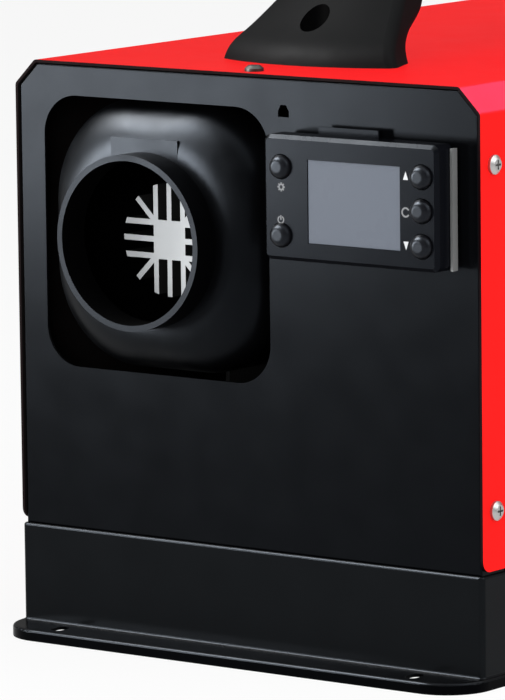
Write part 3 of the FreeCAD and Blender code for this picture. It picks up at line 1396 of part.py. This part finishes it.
def fuel_pump():
    span = (pump_front, pump_back)
    body = rod("Y", pump_at, span, d.pump_radius)
    tips = rod("Y", pump_at, grown(span, d.pump_tip), d.fuel_radius)
    chamber_start = pump_front + d.pump_tip
    chamber = (chamber_start, chamber_start + d.plunger_length + d.plunger_stroke + d.sheet_gap)
    bore = rod("Y", pump_at, chamber, d.pump_bore)
    drain = rod("Y", pump_at, grown(span, d.pump_tip), d.fuel_radius / 2)
    node("fuel_pump", cut(fuse(body, tips), bore, drain))
    plunger = (chamber_start + d.sheet_gap, chamber_start + d.sheet_gap + d.plunger_length)
    node("pump_plunger", tube("Y", pump_at, plunger, d.pump_bore - d.plunger_slack, d.fuel_radius / 2))
    middle = (pump_front + pump_back) / 2
    band = grown((middle, middle), d.clamp_length / 2)
    ring = rod("Y", pump_at, band, d.pump_radius + d.clamp_ring)
    pedestal = box(grown((axis_x, axis_x), d.clamp_half), band, (d.base_top, pump_at[1]))
    node("pump_clamp", cut(fuse(ring, pedestal), rod("Y", pump_at, band, d.pump_radius)))


def fuel_filter():
    span = (filter_front, filter_back)
    barrel = rod("Y", filter_at, inset(span, d.filter_radius / 2), d.filter_radius)
    taper = d.filter_radius / 2
    ends = [
        cone("Y", filter_at, span[1] - taper, taper, d.filter_radius, d.fuel_radius),
        cone("-Y", filter_at, span[0] + taper, taper, d.filter_radius, d.fuel_radius),
    ]
    tips = rod("Y", filter_at, grown(span, d.pump_tip), d.fuel_radius)
    node("fuel_filter", fuse(barrel, *ends, tips))


def fuel_lines():
    lap = d.pump_tip - d.sheet
    level = pump_at[1]
    tank_run = [
        (tank_x[0] - d.sheet, outlet_at[0], level),
        (filter_at[0], outlet_at[0], level),
        (filter_at[0], filter_front - d.pump_tip + lap, level),
    ]
    pump_run = [
        (filter_at[0], filter_back + d.pump_tip - lap, level),
        (filter_at[0], pump_back + d.fuel_turn, level),
        (axis_x, pump_back + d.fuel_turn, level),
        (axis_x, pump_back + d.pump_tip - lap, level),
    ]
    x, y = fuel_at
    burner_run = [
        (axis_x, pump_front - d.pump_tip + lap, level),
        (axis_x, pump_front - d.fuel_turn, level),
        (x, y + d.fuel_turn, level),
        (x, y, level),
        (x, y, fuel_end + lap),
    ]
    runs = [(tank_run, d.fuel_tight_bend), (pump_run, d.fuel_bend), (burner_run, d.fuel_bend)]
    node("fuel_lines", group(*[hose(run, bend, d.fuel_hose, d.fuel_radius) for run, bend in runs]))


# Electrical

def power_inlet():
    x, z = socket_at
    flange_x = grown((x, x), d.socket_half)
    flange_z = grown((z, z), d.socket_half)
    flange_y = (rear, rear + d.socket_wall)
    flange = slab("XZ", flange_y, rounded_rectangle, flange_x, flange_z, d.socket_wall)
    barrel = rod("Y", socket_at, (rear - d.socket_depth, rear + d.socket_reach), d.socket_radius)
    well = rod("Y", socket_at, (rear, rear + d.socket_reach), d.socket_radius - d.socket_wall)
    pin_at = [(x + d.pin_spacing / 2 * side, z) for side in (-1, 1)]
    pin_y = (rear - d.socket_depth, rear + d.socket_reach - d.socket_wall)
    holes = [rod("Y", at, pin_y, d.pin_radius) for at in pin_at]
    node("power_socket", cut(fuse(flange, barrel), well, *holes))
    node("socket_pins", group(*[rod("Y", at, pin_y, d.pin_radius) for at in pin_at]))


def controller_cable():
    x, z = cable_at
    y, height = cable_in
    beside = axis_x + d.case_half + d.cable_side
    above = tank_z[1] + d.cable_over
    run = [
        (x, control_back - d.control_wall / 2, z),
        (x, front + d.cable_run, z),
        (beside, front + d.cable_slope, above),
        (beside, y - d.cable_run, above),
        (beside, y, height),
        (axis_x + d.unit_half, y, height),
    ]
    node("controller_cable", hose(run, d.cable_bend, d.cable_radius))


for build in (
    base_plate, base_box, outer_shell, front_panel, rear_panel, shell_screws,
    carry_handle, handle_fasteners,
    controller_bracket, controller_halves, controller_insides, buttons,
    outlet_hood, heater_case, heat_exchanger, burner_tube, glow_plug, blower, rotor, control_unit,
    heater_support, air_inlet, pipes,
    fuel_tank, filler_parts, fuel_pump, fuel_filter, fuel_lines,
    power_inlet, controller_cable,
):
    build()
doc.recompute()

# Nothing is written unless every object and every piece is sound
failed = [thing.Label for thing in doc.Objects if {"Invalid", "Error"} & set(thing.State)]
failed += [piece.Label for piece in nodes if piece.Shape.isNull() or not piece.Shape.isValid()]
if failed:
    raise RuntimeError(f"failed pieces: {failed}")

os.makedirs("parts", exist_ok=True)
for piece in nodes:
    piece.Shape.exportStep(os.path.join("parts", f"{piece.Label}.step"))
print(len(nodes), "pieces written")
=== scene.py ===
import json
import math

import bpy
from mathutils import Matrix, Vector


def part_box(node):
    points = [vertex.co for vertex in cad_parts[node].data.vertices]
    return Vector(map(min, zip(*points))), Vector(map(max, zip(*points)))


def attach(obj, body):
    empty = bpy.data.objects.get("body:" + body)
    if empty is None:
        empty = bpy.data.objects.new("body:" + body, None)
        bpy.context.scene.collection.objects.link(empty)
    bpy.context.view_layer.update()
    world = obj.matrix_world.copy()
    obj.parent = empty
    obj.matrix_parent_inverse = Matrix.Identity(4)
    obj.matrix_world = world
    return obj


# A portable diesel air heater on a pale studio floor. Metres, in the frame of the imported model.

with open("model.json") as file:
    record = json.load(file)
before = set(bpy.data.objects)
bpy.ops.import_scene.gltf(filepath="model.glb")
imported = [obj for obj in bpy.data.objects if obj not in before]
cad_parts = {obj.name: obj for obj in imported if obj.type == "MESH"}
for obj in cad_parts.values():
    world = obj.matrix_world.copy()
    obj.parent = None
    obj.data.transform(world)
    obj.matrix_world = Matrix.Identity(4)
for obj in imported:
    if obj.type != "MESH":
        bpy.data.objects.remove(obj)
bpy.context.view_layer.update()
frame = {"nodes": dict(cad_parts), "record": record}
nodes = frame["nodes"]
MM = 0.001


# Materials

WHITE = (1, 1, 1)
COOL = (0.72, 0.84, 1)
VIOLET = (0.7, 0.37, 1)

# Sockets of a Mix node that mixes colours
MIX_FACTOR = 0
MIX_FIRST = 6
MIX_SECOND = 7
MIX_RESULT = 2

# Range that holds nearly all of a noise
NOISE_LOW = 0.3
NOISE_HIGH = 0.7


def noise(tree, coordinates, scale, detail, stretch=None):
    """A noise texture in object space; `stretch` scales it along X, Y and Z."""
    texture = tree.nodes.new("ShaderNodeTexNoise")
    texture.inputs["Scale"].default_value = scale
    texture.inputs["Detail"].default_value = detail
    socket = coordinates.outputs["Object"]
    if stretch:
        mapping = tree.nodes.new("ShaderNodeMapping")
        mapping.inputs["Scale"].default_value = stretch
        tree.links.new(socket, mapping.inputs["Vector"])
        socket = mapping.outputs["Vector"]
    tree.links.new(socket, texture.inputs["Vector"])
    return texture.outputs["Fac"]


def spread(tree, socket, low, high):
    """Maps the usual range of a noise to the range from low to high."""
    ramp = tree.nodes.new("ShaderNodeMapRange")
    ramp.inputs["From Min"].default_value = NOISE_LOW
    ramp.inputs["From Max"].default_value = NOISE_HIGH
    ramp.inputs["To Min"].default_value = low
    ramp.inputs["To Max"].default_value = high
    tree.links.new(socket, ramp.inputs["Value"])
    return ramp.outputs["Result"]


def surface(name, colour, roughness, metallic=0.0, specular=0.5, tint=WHITE,
            grain=1500, depth=0.02, drift=0.1, uneven=0.06, stretch=None):
    """A finish with fine relief (grain per metre, depth in mm), slow colour drift and uneven gloss."""
    drift_scale = 14
    drift_detail = 4.0
    gloss_scale = 56
    gloss_detail = 3.0
    grain_detail = 2.0
    least_roughness = 0.02
    material = bpy.data.materials.new(name)
    material.use_nodes = True
    tree = material.node_tree
    shader = tree.nodes["Principled BSDF"]
    shader.inputs["Metallic"].default_value = metallic
    shader.inputs["Specular IOR Level"].default_value = specular
    shader.inputs["Specular Tint"].default_value = (*tint, 1)
    coordinates = tree.nodes.new("ShaderNodeTexCoord")

    mix = tree.nodes.new("ShaderNodeMix")
    mix.data_type = "RGBA"
    dark = [channel * (1 - drift) for channel in colour]
    light = [min(1.0, channel * (1 + drift)) for channel in colour]
    mix.inputs[MIX_FIRST].default_value = (*dark, 1)
    mix.inputs[MIX_SECOND].default_value = (*light, 1)
    tree.links.new(noise(tree, coordinates, drift_scale, drift_detail), mix.inputs[MIX_FACTOR])
    tree.links.new(mix.outputs[MIX_RESULT], shader.inputs["Base Color"])

    cloud = noise(tree, coordinates, gloss_scale, gloss_detail)
    smoothest = max(least_roughness, roughness - uneven)
    roughest = min(1.0, roughness + uneven)
    tree.links.new(spread(tree, cloud, smoothest, roughest), shader.inputs["Roughness"])

    bump = tree.nodes.new("ShaderNodeBump")
    bump.inputs["Strength"].default_value = 1.0
    bump.inputs["Distance"].default_value = depth * MM
    relief = noise(tree, coordinates, grain, grain_detail, stretch)
    tree.links.new(relief, bump.inputs["Height"])
    tree.links.new(bump.outputs["Normal"], shader.inputs["Normal"])
    return material


# Powder coats of the case and the base, and painted shade for the shell's cut edges and inner faces
red_coat = surface("red_coat", (0.92, 0.011, 0.01), 0.5, specular=0.025,
                   grain=900, depth=0.012, drift=0.02, uneven=0.02)
panel_coat = surface("panel_coat", (0.0015, 0.0016, 0.002), 0.21, specular=0.05, tint=COOL,
                     depth=0.003, uneven=0.02)
base_coat = surface("base_coat", (0.0045, 0.005, 0.0055), 0.2, specular=0.045, tint=COOL,
                    depth=0.003, uneven=0.02)
plate_coat = surface("plate_coat", (0.0006, 0.0006, 0.0008), 0.24, specular=0.02, tint=COOL,
                     depth=0.003, uneven=0.02)
edge_sheen = surface("edge_sheen", (0.004, 0.0042, 0.0046), 0.26, specular=0.1, tint=COOL,
                     depth=0.003)
# Painted shade: dark maroon on the shell's cut edges, which stand in shade
cut_edge_shade = surface("cut_edge_shade", (0.006, 0.001, 0.0016), 0.6, specular=0.03, grain=900, depth=0.01)
# Painted shade: near-black on the shell's inner faces, where little light reaches
inside_shade = surface("inside_shade", (0.006, 0.005, 0.005), 0.7, specular=0.05,
                      grain=900, depth=0.01)

# Mouldings and rubber, and painted shade for the hood's lip and bore and the screw pockets
handle_grain = surface("handle_grain", (0.004, 0.0044, 0.0047), 0.6, specular=0.04,
                       grain=1600)
hood_black = surface("hood_black", (0.0009, 0.0009, 0.0011), 0.36, specular=0.085, tint=COOL,
                     grain=1800, depth=0.004)
# Painted shade: a less glossy copy of the hood's black on the collar's front face, so it shows less
# lamp light
lip_shade = surface("lip_shade", (0.002, 0.002, 0.0024), 0.4, specular=0.06, tint=COOL,
                    grain=1800, depth=0.004)
# Painted shade: flat near-black in the collar's bore and the handle's screw pockets
pit_shade = surface("pit_shade", (0.0008, 0.0008, 0.0009), 0.7, specular=0.01, depth=0.01)
control_black = surface("control_black", (0.003, 0.0033, 0.0045), 0.2, specular=0.045, tint=COOL,
                        depth=0.003, uneven=0.02)
button_black = surface("button_black", (0.004, 0.004, 0.005), 0.3, specular=0.16, tint=COOL,
                       depth=0.004)
fan_plastic = surface("fan_plastic", (0.012, 0.012, 0.013), 0.45, specular=0.08)
tank_white = surface("tank_white", (0.72, 0.71, 0.66), 0.42, specular=0.1,
                     grain=700, depth=0.03, drift=0.04)
rubber = surface("rubber", (0.012, 0.012, 0.012), 0.62, specular=0.08, grain=1100, depth=0.04)

# Metals, and painted shade for the exchanger's fin flanks and the screws on the roof
cast_face = surface("cast_face", (0.5, 0.52, 0.535), 0.55, metallic=0.1, specular=0.3, grain=1400)
# Painted shade: dark grey on the flanks of the exchanger's fins, deep in the bore
star_flank_shade = surface("star_flank_shade", (0.012, 0.012, 0.012), 0.7, specular=0.05, grain=1400, depth=0.03)
cast_metal = surface("cast_metal", (0.74, 0.76, 0.78), 0.5, metallic=0.7, grain=1400, depth=0.03)
zinc = surface("zinc", (0.5, 0.5, 0.49), 0.4, metallic=1.0, grain=900, depth=0.01)
# Painted shade: a darker copy of the zinc for the screw heads on the roof
roof_zinc_shade = surface("roof_zinc_shade", (0.07, 0.07, 0.066), 0.45, metallic=1.0, grain=900, depth=0.01)
zinc_sheet = surface("zinc_sheet", (0.27, 0.275, 0.275), 0.5, metallic=0.7,
                     grain=260, stretch=(1, 1, 12))
burner_steel = surface("burner_steel", (0.4, 0.38, 0.36), 0.38, metallic=1.0, grain=500, depth=0.03)
brass = surface("brass", (0.72, 0.5, 0.18), 0.3, metallic=1.0)

# Display, circuit board and prints
display_grey = surface("display_grey", (0.135, 0.153, 0.187), 0.3, specular=0.04,
                       grain=3000, depth=0.001, drift=0.05)
board_green = surface("board_green", (0.02, 0.12, 0.04), 0.4)
print_white = surface("print_white", (0.62, 0.63, 0.65), 0.5, drift=0.04)
print_grey = surface("print_grey", (0.16, 0.165, 0.175), 0.5, drift=0.06)

FINISHES = {
    "shell_red": red_coat,
    "panel_black": panel_coat,
    "base_black": base_coat,
    "handle_plastic": handle_grain,
    "hood_plastic": hood_black,
    "exchanger_aluminium": cast_metal,
    "screw_zinc": zinc,
    "bracket_zinc": zinc_sheet,
    "controller_plastic": control_black,
    "button_plastic": button_black,
    "display_grey": display_grey,
    "lcd_module": display_grey,
    "circuit_green": board_green,
    "burner_steel": burner_steel,
    "fan_plastic": fan_plastic,
    "seal_rubber": rubber,
    "tank_plastic": tank_white,
    "pin_brass": brass,
}
for part in frame["record"]["subparts"]:
    mesh = nodes[part["node"]].data
    mesh.materials.clear()
    mesh.materials.append(FINISHES[part["material_slot"]])


# Second materials on some faces of a node, several of them painted shade: each test takes a face's
# middle and its normal

case_middle = Vector((0, 0, 140 * MM))
face_skin = 0.5 * MM
hood_low, hood_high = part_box("outlet_hood")
hood_axis = (hood_low + hood_high) / 2
collar_bore = 36 * MM
screws_low, screws_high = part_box("handle_screws")
screw_rows = (screws_low.y + screws_high.x, screws_high.y - screws_high.x)
pocket_radius = 6.6 * MM
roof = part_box("outer_shell")[1].z
roof_skin = 1 * MM
star_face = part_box("heat_exchanger")[0].y
star_depth = 100 * MM
control_low, control_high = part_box("controller_bezel")

# Limits for the parts of a face's normal
HEAD_ON = 0.9
SIDE_ON = 0.5
BEVEL = 0.4
FOOT_ACROSS = 0.3
EDGE_LEAST_UP = 0.15
EDGE_MOST_UP = 0.97
EDGE_MOST_REAR = 0.1


def shell_inside(at, normal):
    """Inner faces of the shell, which look towards the middle of the case and get painted shade."""
    outwards = Vector((at.x, 0, at.z)) - case_middle
    return abs(normal.y) < SIDE_ON and normal.dot(outwards) < 0


def shell_cut(at, normal):
    """Cut edges of the shell's sheet, at its front, rear and foot, which get painted shade."""
    foot = at.z < case_middle.z and normal.z < 0 and abs(normal.x) < FOOT_ACROSS
    return abs(normal.y) > HEAD_ON or foot


def behind_controller(at, normal):
    """The part of the bracket that the controller covers."""
    return at.x < control_high.x


def whole_node(at, normal):
    return True


def upper_edge(at, normal):
    """Rounded edges that look up and not to the rear."""
    return EDGE_LEAST_UP < normal.z < EDGE_MOST_UP and normal.y < EDGE_MOST_REAR


def collar_inside(at, normal):
    """The bore of the hot-air collar and the walls behind it, which get painted shade."""
    across = at.x - hood_axis.x
    above = at.z - hood_axis.z
    inwards = normal.x * across + normal.z * above < 0
    return math.hypot(across, above) < collar_bore and normal.y > -SIDE_ON and inwards


# The collar's front face, which gets painted shade
def collar_lip(at, normal):
    return at.y < hood_low.y + face_skin


def screw_pocket(at, normal):
    """Walls of the pockets in the handle's feet, which get painted shade."""
    nearest = min(math.hypot(at.x, at.y - row) for row in screw_rows)
    return nearest < pocket_radius and abs(normal.z) < SIDE_ON


# Screw faces on the roof, which get painted shade
def on_roof(at, normal):
    return at.z > roof - roof_skin


# Faces of the exchanger in its front 100 mm: painted shade on the fins' flanks
def star_flank(at, normal):
    return at.y < star_face + star_depth


def star_front(at, normal):
    return at.y < star_face + face_skin and normal.y < -HEAD_ON


def bezel_edge(at, normal):
    """Bevels of the controller that look up or to the left."""
    return normal.y < -BEVEL and (normal.z > BEVEL or normal.x < -BEVEL)


def repaint(name, material, wanted):
    """Adds a material to a node, for the faces that `wanted` accepts."""
    mesh = nodes[name].data
    mesh.materials.append(material)
    for face in mesh.polygons:
        if wanted(face.center, face.normal):
            face.material_index = len(mesh.materials) - 1


repaint("outer_shell", inside_shade, shell_inside)
repaint("outer_shell", cut_edge_shade, shell_cut)
repaint("controller_bracket", control_black, behind_controller)
repaint("base_plate", plate_coat, whole_node)
for name in ("base_plate", "base_box", "front_panel"):
    repaint(name, edge_sheen, upper_edge)
repaint("outlet_hood", pit_shade, collar_inside)
repaint("outlet_hood", lip_shade, collar_lip)
repaint("carry_handle", pit_shade, screw_pocket)
repaint("shell_screws", roof_zinc_shade, on_roof)
repaint("heat_exchanger", star_flank_shade, star_flank)
repaint("heat_exchanger", cast_face, star_front)
repaint("controller_bezel", edge_sheen, bezel_edge)


def new_mesh(name, points, faces, material):
    """A mesh object of one material, in the scene."""
    mesh = bpy.data.meshes.new(name)
    mesh.from_pydata(points, [], faces)
    mesh.materials.append(material)
    piece = bpy.data.objects.new(name, mesh)
    bpy.context.scene.collection.objects.link(piece)
    return piece


# Marks printed on the controller's face, in millimetres from its lower left corner

print_relief = 0.06
up_place = (71.7, 38.7)
down_place = (71.7, 10.2)
arrow_wide = 2.5
arrow_tall = 3.5
ok_place = (71.6, 23.8)
ok_radius = 2.1
ok_line = 0.7
ok_gap_angle = 60
gear_place = (9.2, 30.2)
gear_radius = 1.4
gear_line = 0.6
tooth_radius = 1.85
tooth_tall = 0.5
tooth_angle = 22
tooth_count = 8
power_place = (8.9, 16.7)
power_radius = 1.7
power_line = 0.55
power_gap_angle = 50
power_bar_rise = 0.9
power_bar_tall = 1.9


def printed(name, outlines, material):
    """A thin print of closed outlines, which stands out of the face as far as it reaches into it."""
    points = []
    faces = []
    for outline in outlines:
        first = len(points)
        count = len(outline)
        for side in (-print_relief, print_relief):
            level = control_low.y + side * MM
            points += [(control_low.x + x * MM, level, control_low.z + z * MM) for x, z in outline]
        faces.append([first + step for step in range(count)])
        faces.append([first + count + step for step in reversed(range(count))])
        for step in range(count):
            after = (step + 1) % count
            faces.append([first + after, first + step, first + count + step, first + count + after])
    mark = new_mesh(name, points, faces, material)
    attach(mark, "case")


def ring_piece(x, z, radius, width, start, end, steps=28):
    """Part of a ring, as short four-sided outlines between two angles in degrees."""
    angles = [math.radians(start + (end - start) * step / steps) for step in range(steps + 1)]
    inner = radius - width
    pieces = []
    for here, there in zip(angles, angles[1:]):
        corners = [(here, radius), (there, radius), (there, inner), (here, inner)]
        pieces.append([(x + reach * math.cos(angle), z + reach * math.sin(angle))
                       for angle, reach in corners])
    return pieces


def bar(x, z, wide, tall):
    """A rectangle about its middle."""
    left, right = x - wide / 2, x + wide / 2
    low, high = z - tall / 2, z + tall / 2
    return [(left, low), (right, low), (right, high), (left, high)]


def arrow(x, z, wide, tall):
    """A triangle that points up, or down where its height is negative."""
    corners = [(x - wide / 2, z - tall / 2), (x + wide / 2, z - tall / 2), (x, z + tall / 2)]
    return corners if tall > 0 else corners[::-1]


def gear_mark():
    """A ring with teeth."""
    outlines = ring_piece(*gear_place, gear_radius, gear_line, 0, 360)
    for tooth in range(tooth_count):
        middle = 360 / tooth_count * tooth
        start = middle - tooth_angle / 2
        end = middle + tooth_angle / 2
        outlines += ring_piece(*gear_place, tooth_radius, tooth_tall, start, end, steps=2)
    return outlines


def power_mark():
    """A ring that is open at its top, with a bar in the gap."""
    x, z = power_place
    start = 90 + power_gap_angle / 2
    end = 450 - power_gap_angle / 2
    outlines = ring_piece(x, z, power_radius, power_line, start, end)
    return outlines + [bar(x, z + power_bar_rise, power_line, power_bar_tall)]


def ok_mark():
    """A ring that is open at its right."""
    start = ok_gap_angle / 2
    return ring_piece(*ok_place, ok_radius, ok_line, start, 360 - start)


printed("up_mark", [arrow(*up_place, arrow_wide, arrow_tall)], print_white)
printed("down_mark", [arrow(*down_place, arrow_wide, -arrow_tall)], print_white)
printed("ok_mark", ok_mark(), print_grey)
printed("settings_mark", gear_mark(), print_grey)
printed("power_mark", power_mark(), print_grey)


# Sealing bead where the base box stands on its plate

bead_size = 0.9 * MM
base_corner = 2.2 * MM
bead_steps = 6


def seam(name, low, high, corner, size, material):
    """A bead around a box's foot: its rounded outline, times a closed profile of offset and height."""
    turns = [math.radians(90 * step / bead_steps) for step in range(bead_steps + 1)]
    profile = [(0, 0)]
    profile += [(size - size * math.sin(turn), size - size * math.cos(turn)) for turn in turns]
    corners = [(high.x, high.y), (low.x, high.y), (low.x, low.y), (high.x, low.y)]
    ring = []
    for quarter, (x, y) in enumerate(corners):
        middle = Vector((x - math.copysign(corner, x), y - math.copysign(corner, y), 0))
        for turn in turns:
            angle = turn + quarter * math.pi / 2
            ring.append((middle, Vector((math.cos(angle), math.sin(angle), 0))))
    points = []
    for middle, way in ring:
        for offset, height in profile:
            points.append(middle + way * (corner + offset) + Vector((0, 0, low.z + height)))
    faces = []
    count = len(profile)
    for section in range(len(ring)):
        here = section * count
        there = (section + 1) % len(ring) * count
        for step in range(count):
            after = (step + 1) % count
            faces.append([here + step, there + step, there + after, here + after])
    bead = new_mesh(name, points, faces, material)
    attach(bead, "case")


seam("base_seam", *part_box("base_box"), base_corner, bead_size, edge_sheen)


# Studio: floor, world, lamps and camera

FLOOR_HALF = 9.0
FLOOR_GREY = 0.8
FLOOR_ROUGHNESS = 0.9
FLOOR_WHITE_SHARE = 0.9
WORLD_STRENGTH = 0.3


def studio_white(tree, lit, share):
    """Mixes plain white into what the camera, reflections and clear pieces see of a lit surface."""
    rays = tree.nodes.new("ShaderNodeLightPath")
    seen = tree.nodes.new("ShaderNodeMath")
    seen.operation = "MAXIMUM"
    glossy = tree.nodes.new("ShaderNodeMath")
    glossy.operation = "MAXIMUM"
    tree.links.new(rays.outputs["Is Glossy Ray"], glossy.inputs[0])
    tree.links.new(rays.outputs["Is Transmission Ray"], glossy.inputs[1])
    tree.links.new(rays.outputs["Is Camera Ray"], seen.inputs[0])
    tree.links.new(glossy.outputs["Value"], seen.inputs[1])
    part = tree.nodes.new("ShaderNodeMath")
    part.operation = "MULTIPLY"
    part.inputs[1].default_value = share
    tree.links.new(seen.outputs["Value"], part.inputs[0])
    white = tree.nodes.new("ShaderNodeEmission")
    mix = tree.nodes.new("ShaderNodeMixShader")
    tree.links.new(part.outputs["Value"], mix.inputs["Fac"])
    tree.links.new(lit, mix.inputs[1])
    tree.links.new(white.outputs["Emission"], mix.inputs[2])
    return mix.outputs["Shader"]


def pale_floor():
    """A wide floor that keeps the object's shadow and is otherwise nearly white."""
    material = bpy.data.materials.new("floor_white")
    material.use_nodes = True
    tree = material.node_tree
    shader = tree.nodes["Principled BSDF"]
    shader.inputs["Base Color"].default_value = (FLOOR_GREY, FLOOR_GREY, FLOOR_GREY, 1)
    shader.inputs["Roughness"].default_value = FLOOR_ROUGHNESS
    white = studio_white(tree, shader.outputs["BSDF"], FLOOR_WHITE_SHARE)
    tree.links.new(white, tree.nodes["Material Output"].inputs["Surface"])
    half = FLOOR_HALF
    corners = [(-half, -half, 0), (half, -half, 0), (half, half, 0), (-half, half, 0)]
    floor = new_mesh("floor", corners, [(0, 1, 2, 3)], material)


def studio_world():
    """Even white light from all around."""
    world = bpy.data.worlds.new("studio")
    bpy.context.scene.world = world
    world.use_nodes = True
    back = world.node_tree.nodes["Background"]
    back.inputs["Color"].default_value = (*WHITE, 1)
    back.inputs["Strength"].default_value = WORLD_STRENGTH


def light_group(name, node, state):
    """A group of one node for the lamps' links, which include or leave out that node."""
    group = bpy.data.collections.new(name)
    group.objects.link(nodes[node])
    group.collection_objects[0].light_linking.link_state = state
    return group


shadow_casters = light_group("all_but_handle", "carry_handle", "EXCLUDE")
shell_only = light_group("shell_only", "outer_shell", "INCLUDE")
hood_only = light_group("hood_only", "outlet_hood", "INCLUDE")


def lamp(name, at, towards, size, power, diffuse=True, glossy=True, colour=WHITE, lights=None):
    """An area lamp; one that only shows in reflections is a studio card, one that doesn't is a fill."""
    data = bpy.data.lights.new(name, "AREA")
    data.shape = "RECTANGLE"
    data.size, data.size_y = size
    data.energy = power
    data.color = colour
    holder = bpy.data.objects.new(name, data)
    bpy.context.scene.collection.objects.link(holder)
    holder.visible_diffuse = diffuse
    holder.visible_glossy = glossy
    holder.light_linking.blocker_collection = shadow_casters
    holder.light_linking.receiver_collection = lights
    holder.location = at
    holder.rotation_euler = (Vector(towards) - Vector(at)).to_track_quat("-Z", "Y").to_euler()


def photo_camera():
    """The photograph's viewpoint: place, azimuth, height and roll as found from the case's edges."""
    place = (1.5576, -2.2557, 0.509)
    yaw = math.radians(37.09)
    pitch = math.radians(8.35)
    roll = math.radians(-0.68)
    sensor = 36
    lens = 323.3
    far_clip = 50
    level = math.cos(pitch)
    back = Vector((math.sin(yaw) * level, -math.cos(yaw) * level, math.sin(pitch)))
    right = (-back).cross(Vector((0, 0, 1))).normalized()
    up = right.cross(-back)
    side = right * math.cos(roll) + up * math.sin(roll)
    top = up * math.cos(roll) - right * math.sin(roll)
    turn = Matrix((side, top, back)).transposed().to_4x4()
    data = bpy.data.cameras.new("photo_camera")
    data.sensor_width = sensor
    data.lens = lens
    data.clip_end = far_clip
    camera = bpy.data.objects.new("photo_camera", data)
    bpy.context.scene.collection.objects.link(camera)
    camera.matrix_world = Matrix.Translation(place) @ turn
    bpy.context.scene.camera = camera


pale_floor()
studio_world()
lamp("key", at=(-0.83, -1.02, 0.2), towards=(-0.08, -0.2, 0.2), size=(0.5, 0.32), power=15,
     diffuse=False)
lamp("card", at=(-0.7, -0.75, 1.05), towards=(0, -0.2, 0.22), size=(0.72, 0.7), power=59,
     diffuse=False)
lamp("fill", at=(0.6, -1.55, 0.5), towards=(-0.02, -0.2, 0.17), size=(0.5, 0.5), power=14.5,
     glossy=False)
lamp("top", at=(0.45, 0.05, 1.45), towards=(0, 0, 0.2), size=(1.8, 1.8), power=17)
lamp("side", at=(1.3, -0.1, 0.95), towards=(0.1, 0, 0.2), size=(0.9, 0.9), power=7)
lamp("back", at=(0.3, 1.0, 1.15), towards=(0.1, 0, 0.2), size=(0.6, 0.6), power=39,
     diffuse=False, colour=VIOLET, lights=shell_only)
lamp("nose", at=(-0.72, -1.12, 0.36), towards=(-0.05, -0.2, 0.2), size=(0.45, 0.4), power=42,
     diffuse=False, lights=hood_only)
lamp("brow", at=(-0.68, -0.52, 1.1), towards=(-0.04, -0.2, 0.24), size=(0.8, 0.7), power=40,
     diffuse=False, lights=hood_only)
photo_camera()
bpy.context.scene.view_settings.view_transform = "Standard"
